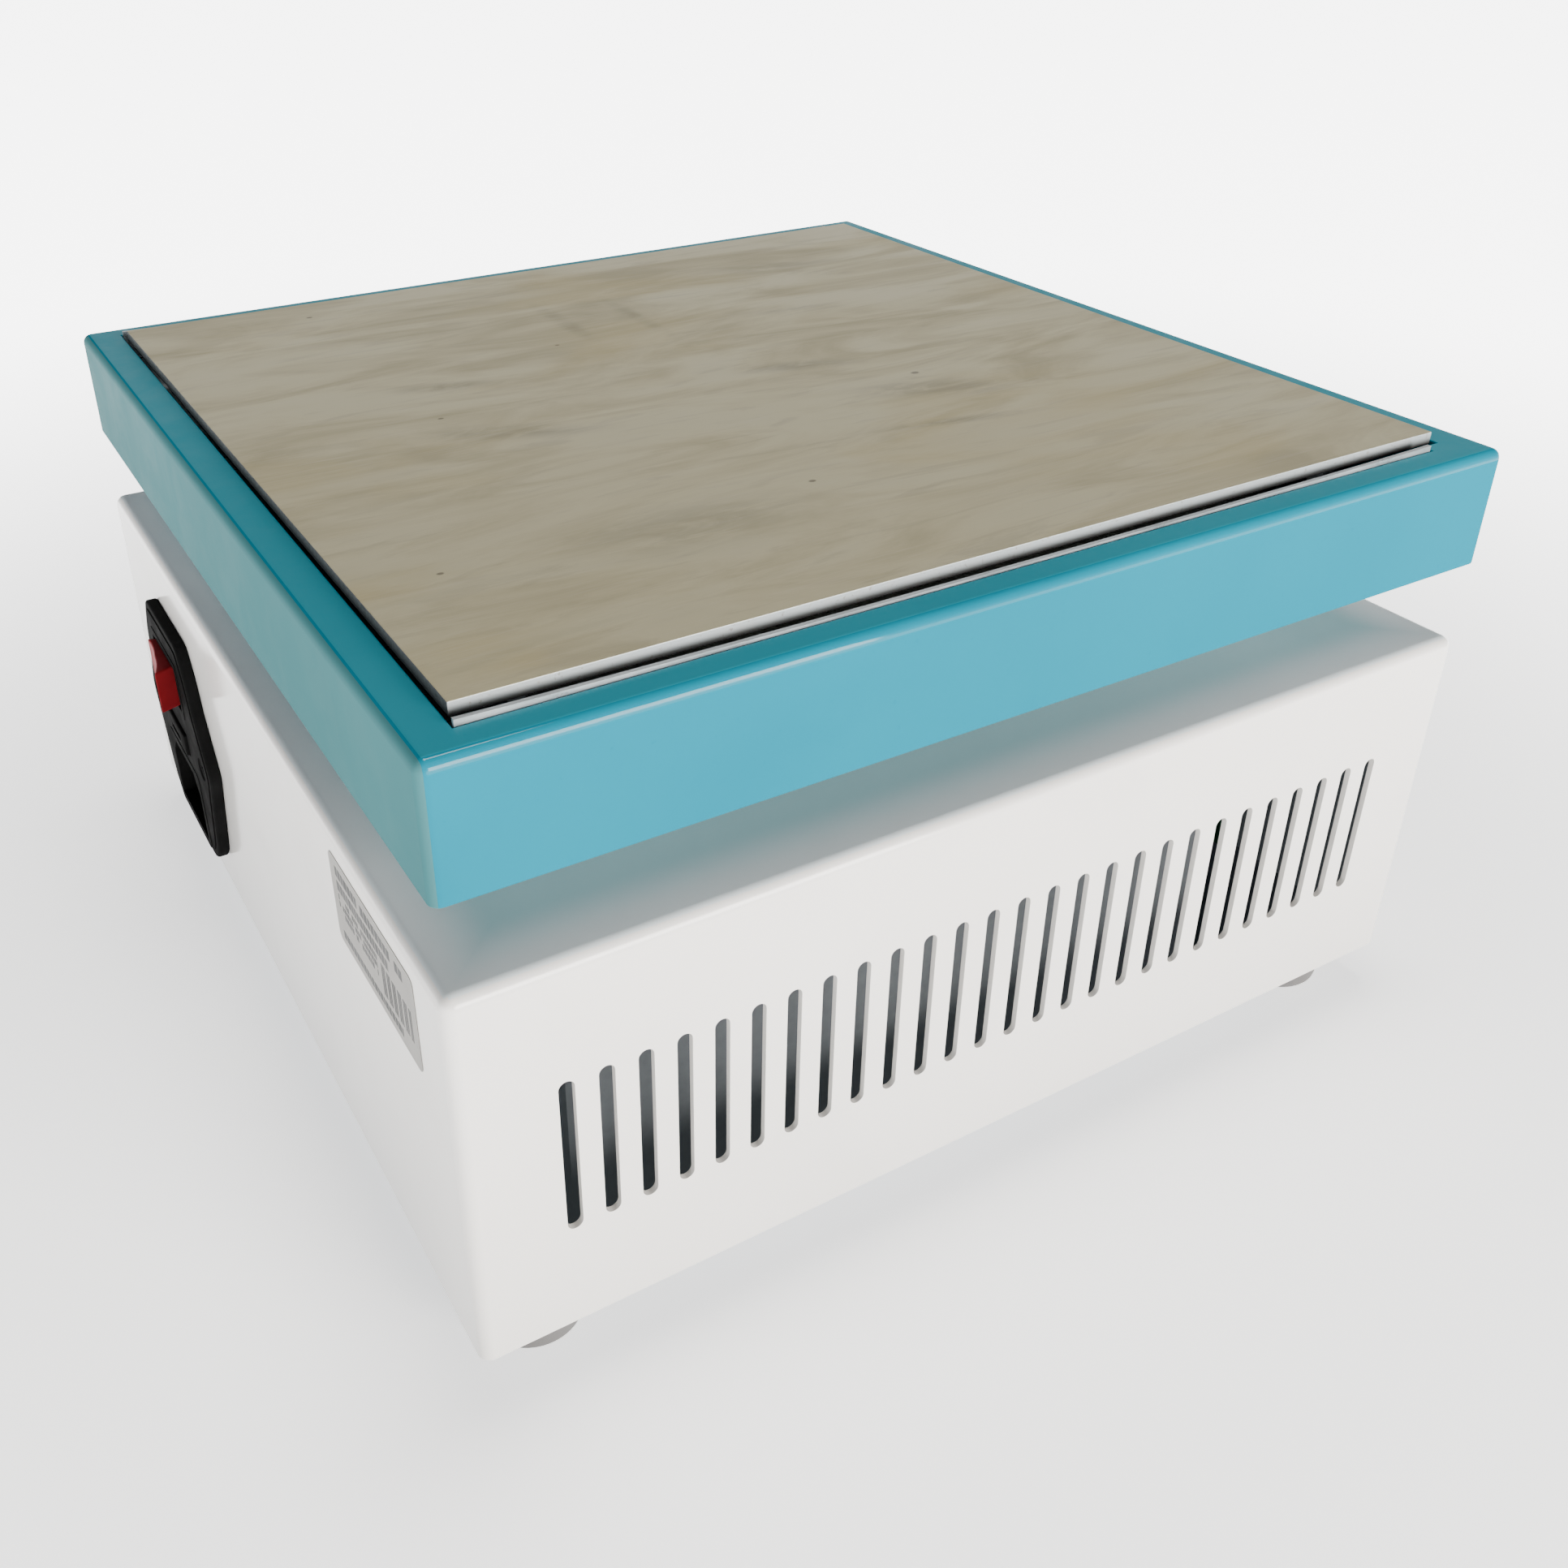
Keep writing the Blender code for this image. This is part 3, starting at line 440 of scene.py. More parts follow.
def label_film():
    """Pale grey metallised film, slightly mottled."""
    made = Look("grey_label", (0.25, 0.24, 0.22), 0.45, Specular_IOR_Level=0.3)
    made.tint(made.remap(made.noise(0.006, 4), 0.4, 0.75, 0.0, 0.6), (0.205, 0.197, 0.183))
    made.tint(made.remap(made.noise(0.0007, 2), 0.55, 0.75, 0.0, 0.25), (0.30, 0.29, 0.27))
    made.bump(made.noise(0.0009, 2), 0.00002, 0.5)
    return made


# Smudges on the plate, in mm from its centre:
# (x, y, half length, half width, turn from +Y in degrees, weight)
SMUDGES = [
    (-8.0, 52.0, 26.0, 6.0, -22.0, 0.60),
    (24.0, 53.0, 16.0, 4.0, -12.0, 0.55),
    (-48.0, -26.0, 28.0, 2.5, -11.0, 0.55),
    (-30.0, -36.0, 26.0, 8.0, -22.0, 0.55),
    (-3.0, -19.0, 21.0, 4.5, -15.0, 0.60),
    (34.0, -43.0, 18.0, 3.0, -7.0, 0.40),
    (54.0, 11.0, 3.5, 22.0, 0.0, 0.45),
    (49.0, -6.0, 3.0, 25.0, 0.0, 0.40),
    (-66.0, 44.0, 34.0, 14.0, -6.0, 0.40),
    (70.0, -60.0, 30.0, 7.0, -10.0, 0.35),
]
PITS = [
    (-60.0, 15.0, 0.7), (-20.0, -38.0, 0.9), (-62.0, 88.0, 0.6), (6.0, 61.0, 0.6), (89.0, 62.0, 0.7),
    (38.0, 20.0, 0.5),
]


def plate_metal():
    """Bare aluminium: brushed along Y, straw-coloured by heat, smudged and lightly scored."""
    made = Look("bare_aluminium", (0.58, 0.53, 0.345), 0.42, 0.6)
    flames = made.noise(0.024, 5, 0.55, (0.6, 2.6, 1.0), 1.2)
    made.tint(made.remap(flames, 0.40, 0.62, 0.0, 0.80), (0.44, 0.395, 0.25))
    made.tint(made.remap(flames, 0.56, 0.72, 0.0, 0.65), (0.35, 0.31, 0.20))
    veins = made.noise(0.009, 6, 0.6, (0.6, 4.0, 1.0), 1.6)
    made.tint(made.remap(veins, 0.52, 0.70, 0.0, 0.40), (0.35, 0.31, 0.20))
    straw = made.noise(0.045, 3, 0.5, (0.8, 1.6, 1.0), 0.7)
    made.tint(made.remap(straw, 0.50, 0.72, 0.0, 0.45), (0.49, 0.41, 0.20))
    hair = made.noise(0.00045, 3, 0.6, (1.0, 60.0, 1.0))
    made.tint(made.remap(hair, 0.50, 0.75, 0.0, 0.28), (0.62, 0.56, 0.43))
    ragged = made.remap(made.noise(0.006, 5, 0.65, (0.7, 3.0, 1.0), 1.0), 0.30, 0.62)
    for x, y, length, width, turn, weight in SMUDGES:
        centre = (PLATFORM.x + x * MM, PLATFORM.y + y * MM, PLATFORM.z)
        local = made.mapped((width * MM, length * MM, 1.0), math.radians(turn), centre)
        span = made.node("ShaderNodeVectorMath", operation="LENGTH")
        made.link(local, span.inputs[0])
        near = made.remap(span.outputs["Value"], 1.0, 0.15, 0.0, weight)
        made.tint(made.math("MULTIPLY", near, ragged), (0.21, 0.185, 0.125))
    for x, y, size in PITS:
        centre = (PLATFORM.x + x * MM, PLATFORM.y + y * MM, PLATFORM.z)
        local = made.mapped((size * MM, 1.4 * size * MM, 1.0), 0.0, centre)
        span = made.node("ShaderNodeVectorMath", operation="LENGTH")
        made.link(local, span.inputs[0])
        made.tint(made.remap(span.outputs["Value"], 1.0, 0.5, 0.0, 0.75), (0.12, 0.10, 0.07))
    scratches = made.noise(0.0009, 2, 0.5, (1.0, 90.0, 1.0), 0.2)
    made.drive("Roughness", made.remap(flames, 0.3, 0.7, 0.38, 0.55))
    made.bump(hair, 0.00003, 0.5)
    made.bump(scratches, 0.00003, 0.35)
    return made


def shaded_case_top():
    """The cover's top: the same white, but duller and bluish under the platform, as in the photo."""
    # Painted shade and painted teal bounce light: the whole top is a darker, bluish copy of the white.
    made = powder_coat(
        "white_powder_coat_shaded_top",
        (0.70, 0.755, 0.765), (0.63, 0.68, 0.69), (0.73, 0.78, 0.79), 0.45, 1.3, 0.1)
    parts = made.node("ShaderNodeSeparateXYZ")
    made.link(made.position(), parts.inputs[0])
    half = (CASE_HIGH - CASE_LOW) / 2
    reach = []
    for axis, middle, limit in (("X", CASE.x, half.x), ("Y", CASE.y, half.y)):
        away = made.math("ABSOLUTE", made.math("SUBTRACT", parts.outputs[axis], middle))
        reach.append(made.math("SUBTRACT", away, limit))
    within = made.math("MAXIMUM", *reach)
    # Painted shade: darker and bluer further in from the cover's edges, under the platform.
    made.tint(made.remap(within, -2.0 * MM, -15.0 * MM, 0.0, 0.95), (0.27, 0.47, 0.50))
    return made


def plate_edge():
    """Sawn edge of the plate, specked, with painted shade: bright along the top, dark below where it
    meets the frame.
    """
    made = Look("aluminium_edge", (0.40, 0.445, 0.46), 0.50, 0.35)
    parts = made.node("ShaderNodeSeparateXYZ")
    made.link(made.position(), parts.inputs[0])
    # Painted shade: the edge darkens towards its bottom, where it meets the frame.
    depth = made.remap(parts.outputs["Z"], TOP_HIGH.z - 0.5 * MM, TOP_LOW.z + 0.2 * MM, 0.0, 0.93)
    made.tint(made.remap(made.noise(0.004, 4, 0.6), 0.45, 0.75, 0.0, 0.5), (0.42, 0.43, 0.42))
    made.tint(made.remap(made.noise(0.0008, 2), 0.62, 0.74, 0.0, 0.5), (0.20, 0.17, 0.12))
    made.tint(depth, (0.045, 0.045, 0.042))
    made.bump(made.noise(0.0005, 2, 0.5, (1.0, 1.0, 0.2)), 0.00003, 0.5)
    return made


RED = red_rocker()
SMOKE = smoked_window()
LABEL = label_film()
PLATE = plate_metal()
PLATE_EDGE = plate_edge()
# The plate's ±Y edge faces are near black: painted shade.
PLATE_SHADED_SIDE = metal(
    "aluminium_edge_shaded", (0.030, 0.035, 0.037), (0.020, 0.024, 0.026), 0.6, size=0.001, metallic=0.0)
WHITE_SHADED_TOP = shaded_case_top()
# A dark sheet for the cover's inner faces and the parts seen through the vents: painted shade inside the
# case.
SHADED_INSIDE = metal(
    "shaded_inside_sheet", (0.09, 0.10, 0.107), (0.07, 0.077, 0.082), 0.7, size=0.003, metallic=0.0)
# A trace of emission, painted light, keeps the view through the slots evenly dark
SHADED_INSIDE.set("Emission Color", (0.80, 0.93, 1.0, 1.0))
SHADED_INSIDE.set("Emission Strength", 0.030)


def dress(piece, look, slot, body, *nodes):
    """Give a piece its material and finish, tie it to a body, and hide the CAD nodes it stands for."""
    piece.data.materials.clear()
    piece.data.materials.append(look.material)
    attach(piece, body)
    if nodes:
        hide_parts(*nodes)


def dress_faces(piece, look, chosen):
    """Give the faces picked by their normal and centre a further material."""
    piece.data.materials.append(look.material)
    number = len(piece.data.materials) - 1
    for face in piece.data.polygons:
        if chosen(face.normal, face.center):
            face.material_index = number


def paint(look, *nodes):
    """Give CAD nodes that stay in view their material."""
    for name in nodes:
        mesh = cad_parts[name].data
        mesh.materials.clear()
        mesh.materials.append(look.material)


def front_place(name):
    """The middle of a CAD node's box in X and Z."""
    low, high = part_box(name)
    return ((low.x + high.x) / 2, (low.z + high.z) / 2)


def open_shell(name, low, high, wall, edge, segments):
    """A box of sheet with round outer edges, open below."""
    deep = low - Vector((0.0, 0.0, SKIRT))
    made = object_from(name, lambda shape: add_box(shape, deep, high))
    round_edges(made, edge, segments)

    def lower(shape):
        past = Vector((MARGIN, MARGIN, MARGIN))
        add_box(shape, deep - past, (high.x + MARGIN, high.y + MARGIN, low.z))

    def inside(shape):
        add_box(shape, (low.x + wall, low.y + wall, low.z - 1 * MM),
                (high.x - wall, high.y - wall, high.z - wall))

    cut(made, lower)
    cut(made, inside)
    return made


# ---------------------------------------------------------------- case

def case_skin():
    """Folded sheet cover with round outer edges, vents, and openings for the parts on it."""
    made = open_shell("case_skin", CASE_LOW, CASE_HIGH, WALL, CASE_EDGE, 6)

    def vents(shape):
        for number in range(VENT_COUNT):
            across = CASE.y + (number - (VENT_COUNT - 1) / 2) * VENT_PITCH
            centre = (across, (VENT_Z0 + VENT_Z1) / 2)
            outline = rounded(VENT_W, VENT_Z1 - VENT_Z0, VENT_W / 2 - 0.00001, centre, 5)
            for side in (CASE_LOW.x, CASE_HIGH.x):
                add_slab(shape, outline, side - 4 * MM, side + 4 * MM, "X")

    cut(made, vents)

    def openings(shape):
        for name in ("main_housing", "idler_housing_1", "idler_housing_2", "idler_housing_3"):
            a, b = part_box(name)
            place = ((a.x + b.x) / 2, (a.y + b.y) / 2)
            add_rod(shape, HOUSING_HOLE_R, 80 * MM, 95 * MM, place)
        a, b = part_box("display_window")
        add_box(shape, (a.x + 3 * MM, FRONT - 2 * MM, a.z + 3 * MM),
                (b.x - 3 * MM, FRONT + 4 * MM, b.z - 3 * MM))
        for key in KEY_NAMES:
            place = front_place(f"button_{key}")
            add_rod(shape, KEY_HOLE_R, FRONT - 2 * MM, FRONT + 4 * MM, place, "Y", 32)
        add_rod(shape, 3.8 * MM, FRONT - 2 * MM, FRONT + 4 * MM, front_place("knob"), "Y", 32)
        half = BODY_HALF + BODY_GAP
        add_box(shape, (INLET_X - half, REAR - 4 * MM, BODY_Z0 - BODY_GAP),
                (INLET_X + half, REAR + 2 * MM, BODY_Z1 + BODY_GAP))

    cut(made, openings)
    even_normals(made)
    dress(made, WHITE, "white_coat", "case", "case_cover")
    top = CASE_HIGH.z
    # The top faces take the white with painted shade.
    dress_faces(made, WHITE_SHADED_TOP, lambda normal, centre: normal.z > 0.9 and centre.z > top - 0.5 * MM)
    # The inner faces take the dark inside sheet: painted shade.
    dress_faces(made, SHADED_INSIDE, lambda normal, centre: (
        abs(centre.x - CASE.x) < CASE_HIGH.x - CASE.x - WALL + 0.05 * MM
        and abs(centre.y - CASE.y) < CASE_HIGH.y - CASE.y - WALL + 0.05 * MM
        and centre.z < top - WALL + 0.05 * MM
        and max(abs(part) for part in normal) > 0.99))


def feet():
    """Moulded rubber feet with a soft edge and a recess for the screw."""
    for number in range(1, 5):
        low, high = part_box(f"foot_{number}")
        place = ((low.x + high.x) / 2, (low.y + high.y) / 2, 0.0)
        profile = [
            (1.8, 10.5), (9.9, 10.5), (10.2, 10.2), (9.8, 1.6), (9.6, 0.7), (9.2, 0.2), (8.7, 0.0),
            (4.5, 0.0), (4.1, 0.2), (3.9, 0.7), (3.9, 3.4), (1.8, 3.4), (1.8, 10.5),
        ]
        made = lathe(f"foot_skin_{number}", [(r * MM, z * MM) for r, z in profile], place)
        dress(made, FOOT, "foot_rubber", "case", f"foot_{number}")


# ---------------------------------------------------------------- mains inlet and label

def inlet_outline(inset=0.0):
    """Module flange: narrow at the top and bottom, widest at the two ears half-way up."""
    half = [
        (12.0, 76.0), (13.8, 75.7), (15.0, 74.9), (16.4, 72.8), (18.6, 69.0), (19.6, 65.6), (20.6, 61.6),
        (26.2, 51.0), (27.1, 49.2), (27.4, 47.6), (27.1, 46.0), (26.2, 43.6), (21.2, 27.6), (19.6, 23.6),
        (17.2, 20.8), (15.2, 19.8), (13.2, 19.5),
    ]
    centre = 47.7
    shrink = 1.0 - inset / 27.4
    tall = 1.0 - inset / 28.2
    right = [(INLET_X + x * shrink * MM, (centre + (z - centre) * tall) * MM) for x, z in half]
    left = [(INLET_X - x * shrink * MM, (centre + (z - centre) * tall) * MM) for x, z in reversed(half)]
    return right + left


def inlet_skin():
    """Black moulded module: stepped flange, socket with its rim, rocker frame, fuse slot, two screws."""
    face = INLET_HIGH.y
    back = REAR + 0.02 * MM

    def flange(shape):
        add_slab(shape, inlet_outline(), back, face - 0.4 * MM)

    made = object_from("inlet_skin", flange)
    round_edges(made, 0.5 * MM, 3)
    cut(made, lambda shape: add_slab(shape, inlet_outline(1.8), back + 1 * MM, face - 0.15 * MM), "UNION")

    def body(shape):
        add_box(shape, (INLET_X - BODY_HALF, INLET_LOW.y, BODY_Z0),
                (INLET_X + BODY_HALF, back + 1 * MM, BODY_Z1))

    def rims(shape):
        add_slab(shape, rounded(28.6 * MM, 20.8 * MM, 2.2 * MM, (INLET_X, SOCKET_Z)), face - 1 * MM, face)

    def frame_rim(shape):
        add_slab(shape, rounded(24.0 * MM, 14.6 * MM, 1.4 * MM, (INLET_X, ROCKER_Z)), face - 1 * MM, face)

    cut(made, body, "UNION")
    cut(made, rims, "UNION")
    cut(made, frame_rim, "UNION")

    def cavity(shape):
        wide = 12.2 * MM
        outline = [
            (INLET_X - wide, 23.1 * MM), (INLET_X + wide, 23.1 * MM),
            (INLET_X + wide, 35.9 * MM), (INLET_X + wide - 4 * MM, 39.9 * MM),
            (INLET_X - wide + 4 * MM, 39.9 * MM), (INLET_X - wide, 35.9 * MM),
        ]
        add_slab(shape, outline, face - 15.5 * MM, face + 1 * MM)

    def recesses(shape):
        add_box(shape, (INLET_X - 10.2 * MM, REAR - 14 * MM, ROCKER_Z - 5.6 * MM),
                (INLET_X + 10.2 * MM, face + 1 * MM, ROCKER_Z + 5.6 * MM))
        add_box(shape, (INLET_X - 9 * MM, REAR - 20 * MM, FUSE_Z - 3 * MM),
                (INLET_X + 9 * MM, face + 1 * MM, FUSE_Z + 3 * MM))

    cut(made, cavity)
    cut(made, recesses)

    screw_z = 47.6 * MM
    ears = ((INLET_X - 20.6 * MM, "left"), (INLET_X + 20.6 * MM, "right"))

    def screw_seats(shape):
        for x, _ in ears:
            add_rod(shape, 2.1 * MM, face - 1.4 * MM, face + 1 * MM, (x, screw_z), "Y", 32, 3.6 * MM)

    cut(made, screw_seats)
    even_normals(made)
    dress(made, BLACK, "black_plastic", "case", "inlet_housing")
    for x, side in ears:
        def head(shape, x=x):
            add_rod(shape, 1.8 * MM, face - 1.4 * MM, face - 0.5 * MM, (x, screw_z), "Y", 32, 2.7 * MM)

        def cross(shape, x=x):
            corners = [(1.4, -0.3), (1.4, 0.3), (0.3, 0.3), (0.3, 1.4), (-0.3, 1.4), (-0.3, 0.3),
                       (-1.4, 0.3), (-1.4, -0.3), (-0.3, -0.3), (-0.3, -1.4), (0.3, -1.4), (0.3, -0.3)]
            plus = [(x + a * MM, screw_z + b * MM) for a, b in corners]
            add_slab(shape, plus, face - 0.9 * MM, face + 1 * MM)

        screw = object_from(f"inlet_screw_{side}", head)
        cut(screw, cross)
        dress(screw, BLACK, "black_plastic", "case")


def rocker_skin():
    """Red rocker on an upright axis: -X end out, each half slightly dished."""
    low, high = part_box("rocker")
    front = []
    steps = 8
    for y0, y1, x0 in ((9.2, 7.2, -9.3), (7.2, 6.6, 0.0)):
        for step in range(steps):
            part = step / steps
            front.append((x0 + 9.3 * part, y0 + (y1 - y0) * part - 0.35 * math.sin(math.pi * part)))
    outline = front + [(9.3, 6.6), (6.4, 2.0), (3.2, -7.0), (-3.2, -7.0), (-6.4, 2.0)]
    points = [(INLET_X + x * MM, REAR + (y - 2.0) * MM) for x, y in outline]
    made = object_from("rocker_skin", lambda shape: add_slab(shape, points, low.z, high.z, "Z"))
    round_edges(made, 0.45 * MM, 3, 50.0)
    even_normals(made)
    dress(made, RED, "red_plastic", "power_rocker", "rocker")


def fuse_skin():
    """Drawer front with a finger groove, level with the module's face."""
    low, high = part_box("fuse_drawer")

    made = object_from("fuse_skin", lambda shape: add_box(shape, low, high))
    round_edges(made, 0.4 * MM, 3)
    middle = (low.z + high.z) / 2

    def groove(shape):
        add_box(shape, (INLET_X - 4 * MM, high.y - 0.5 * MM, middle - 1.0 * MM),
                (INLET_X + 4 * MM, high.y + 1 * MM, middle + 0.2 * MM))

    def well(shape):
        add_box(shape, (low.x + 1.7 * MM, low.y + 1.5 * MM, low.z + 1.5 * MM),
                (high.x - 1.7 * MM, high.y - 4 * MM, high.z + 1 * MM))

    cut(made, groove)
    cut(made, well)
    dress(made, BLACK, "black_plastic", "fuse_tray", "fuse_drawer")


def label_skin():
    """Film with round corners, with generic printed rows and blocks in place of words."""
    width = LABEL_HIGH.x - LABEL_LOW.x
    height = LABEL_HIGH.z - LABEL_LOW.z
    centre = ((LABEL_LOW.x + LABEL_HIGH.x) / 2, (LABEL_LOW.z + LABEL_HIGH.z) / 2)
    shape_of_film = rounded(width, height, 1.6 * MM, centre)
    face = REAR + 0.10 * MM
    film = object_from("label_film", lambda shape: add_slab(shape, shape_of_film, REAR + 0.01 * MM, face))
    dress(film, LABEL, "label", "case", "rating_label")
    pick = random.Random(4)

    def row(shape, z, tall, start, end, smallest, largest, space):
        x = start
        while x < end:
            wide = pick.uniform(smallest, largest)
            stop = min(x + wide, end)
            if pick.random() < 0.86:
                below = centre[1] + (z - tall / 2) * MM
                add_box(shape, (centre[0] - x * MM, face - 0.01 * MM, below),
                        (centre[0] - stop * MM, face + 0.02 * MM, below + tall * MM))
            x = stop + space

    def marks(shape):
        row(shape, 6.6, 2.0, -17.0, 15.0, 0.9, 1.7, 0.35)
        row(shape, 3.6, 2.0, -17.0, 8.0, 0.8, 1.5, 0.32)
        for line in range(3):
            row(shape, 1.2 - 1.6 * line, 1.1, -17.0, 2.0, 0.5, 1.2, 0.28)
        for column in range(22):
            if column % 4 != 3:
                x = 4.0 + column * 0.62
                add_box(shape, (centre[0] - x * MM, face - 0.01 * MM, centre[1] - 4.9 * MM),
                        (centre[0] - (x + 0.40) * MM, face + 0.02 * MM, centre[1] + 1.6 * MM))
        row(shape, -7.0, 1.6, -17.0, 12.0, 0.6, 1.5, 0.32)

    printed = object_from("label_print", marks)
    dress(printed, PRINT, "label", "case")


# ---------------------------------------------------------------- controls

def fascia_skin():
    """Grey panel with round corners, cut out for the display, the knob and four keys."""
    low, high = FASCIA_LOW, FASCIA_HIGH
    centre = ((low.x + high.x) / 2, (low.z + high.z) / 2)
    outline = rounded(high.x - low.x, high.z - low.z, 5 * MM, centre, 8)
    made = object_from("fascia_skin", lambda shape: add_slab(shape, outline, low.y, high.y))
    round_edges(made, 0.45 * MM, 3)
    a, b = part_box("display_window")
    middle = front_place("display_window")

    def holes(shape):
        opening = rounded(b.x - a.x + 0.6 * MM, b.z - a.z + 0.6 * MM, 2 * MM, middle)
        add_slab(shape, opening, low.y - 2 * MM, high.y + 2 * MM)
        for key in KEY_NAMES:
            place = front_place(f"button_{key}")
            add_rod(shape, KEY_HOLE_R, low.y - 2 * MM, high.y + 2 * MM, place, "Y", 40)
        add_rod(shape, 4.0 * MM, low.y - 2 * MM, high.y + 2 * MM, front_place("knob"), "Y", 40)

    cut(made, holes)
    even_normals(made)
    dress(made, FASCIA, "fascia", "case", "fascia")
    window = object_from(
        "window_skin",
        lambda shape: add_slab(shape, rounded(b.x - a.x, b.z - a.z, 1.8 * MM, middle), a.y, b.y),
    )
    round_edges(window, 0.3 * MM, 2)
    dress(window, SMOKE, "display", "case", "display_window")


def control_prints():
    """Pale ticks round the knob, a line under each key and small unlit bars behind the window."""
    knob = front_place("knob")
    face = FASCIA_LOW.y

    def ticks(shape):
        count = 11
        for number in range(count):
            turn = math.radians(-135 + 270 * number / (count - 1))
            long = 2.6 if number % 5 == 0 else 1.6
            verts = add_box(shape, (-0.25 * MM, face - 0.03 * MM, 15.2 * MM),
                            (0.25 * MM, face + 0.2 * MM, (15.2 + long) * MM))
            swing = Matrix.Rotation(turn, 3, "Y")
            bmesh.ops.rotate(shape, cent=(0.0, 0.0, 0.0), matrix=swing, verts=verts)
            bmesh.ops.translate(shape, vec=(knob[0], 0.0, knob[1]), verts=verts)
        for key in KEY_NAMES:
            a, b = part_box(f"button_{key}")
            x = (a.x + b.x) / 2
            add_box(shape, (x - 4 * MM, face - 0.03 * MM, a.z - 3.2 * MM),
                    (x + 4 * MM, face + 0.2 * MM, a.z - 2.7 * MM))

    made = object_from("control_print", ticks)
    dress(made, PALE_PRINT, "fascia", "case")

    a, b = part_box("display_window")

    def digit(shape, x, z):
        """The seven bars of one unlit digit."""
        wide, tall, bar = 5.0, 10.0, 0.8
        for level in (0.0, 0.5, 1.0):
            zz = z + (level - 0.5) * tall * MM
            add_box(shape, (x - wide / 2 * MM + bar * MM, a.y - 0.02 * MM, zz - bar / 2 * MM),
                    (x + wide / 2 * MM - bar * MM, a.y + 0.2 * MM, zz + bar / 2 * MM))
        for side in (-1, 1):
            for level in (-0.25, 0.25):
                zz = z + level * tall * MM
                xx = x + side * wide / 2 * MM
                add_box(shape, (xx - bar / 2 * MM, a.y - 0.02 * MM, zz - 0.19 * tall * MM),
                        (xx + bar / 2 * MM, a.y + 0.2 * MM, zz + 0.19 * tall * MM))

    def digits(shape):
        for group in (0, 1):
            for place in range(3):
                digit(shape, a.x + (10 + 28 * group + 7.6 * place) * MM, (a.z + b.z) / 2)

    bars = object_from("display_bars", digits)
    dress(bars, FASCIA, "fascia", "case")


def key_skins():
    """Domed round keys with a soft edge."""
    for key in KEY_NAMES:
        low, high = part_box(f"button_{key}")
        place = ((low.x + high.x) / 2, 0.0, (low.z + high.z) / 2)
        front = low.y
        profile = [
            (0.0, front), (2.2 * MM, front + 0.06 * MM), (3.4 * MM, front + 0.3 * MM),
            (4.0 * MM, front + 0.7 * MM), (4.2 * MM, front + 1.3 * MM), (4.2 * MM, high.y - 1.4 * MM),
            (5.2 * MM, high.y - 1.4 * MM), (5.2 * MM, high.y), (0.0, high.y),
        ]
        made = lathe(f"key_{key}", profile, place, 48, "Y")
        dress(made, KEYS, "key_rubber", f"key_{key}", f"button_{key}")


def knob_skin():
    """Black knob with flutes round its side and a pale line on its face."""
    low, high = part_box("knob")
    centre = ((low.x + high.x) / 2, (low.z + high.z) / 2)
    front = low.y
    shape = bmesh.new()
    steps = 144
    rings = []
    profile = [
        (0.0, 0.0), (8.6, 0.0), (9.6, 0.2), (10.4, 0.9), (10.9, 2.0), (11.7, 12.5), (12.2, 13.8),
        (12.9, 14.6), (13.0, 15.4), (13.0, 16.5), (5.2, 16.5), (5.2, 13.0), (2.6, 13.0), (2.6, 24.5),
        (0.0, 24.5),
    ]
    for radius, along in profile:
        y = front + along * MM
        if radius == 0.0:
            rings.append([shape.verts.new((centre[0], y, centre[1]))])
            continue
        ring = []
        for step in range(steps):
            turn = 2 * math.pi * step / steps
            dip = 0.45 * (0.5 + 0.5 * math.cos(36 * turn)) if 0.9 <= along <= 12.5 and radius > 8 else 0.0
            r = (radius - dip) * MM
            x = centre[0] + r * math.cos(turn)
            z = centre[1] + r * math.sin(turn)
            ring.append(shape.verts.new((x, y, z)))
        rings.append(ring)
    bridge(shape, rings, steps)
    made = finish_mesh("knob_skin", shape, 50)
    dress(made, BLACK, "black_plastic", "set_knob", "knob")
    line = object_from(
        "knob_line",
        lambda shape: add_box(shape, (centre[0] - 0.5 * MM, front - 0.02 * MM, centre[1] + 3 * MM),
                              (centre[0] + 0.5 * MM, front + 0.3 * MM, centre[1] + 8.6 * MM)),
    )
    dress(line, PALE_PRINT, "black_plastic", "set_knob")


# ---------------------------------------------------------------- platform

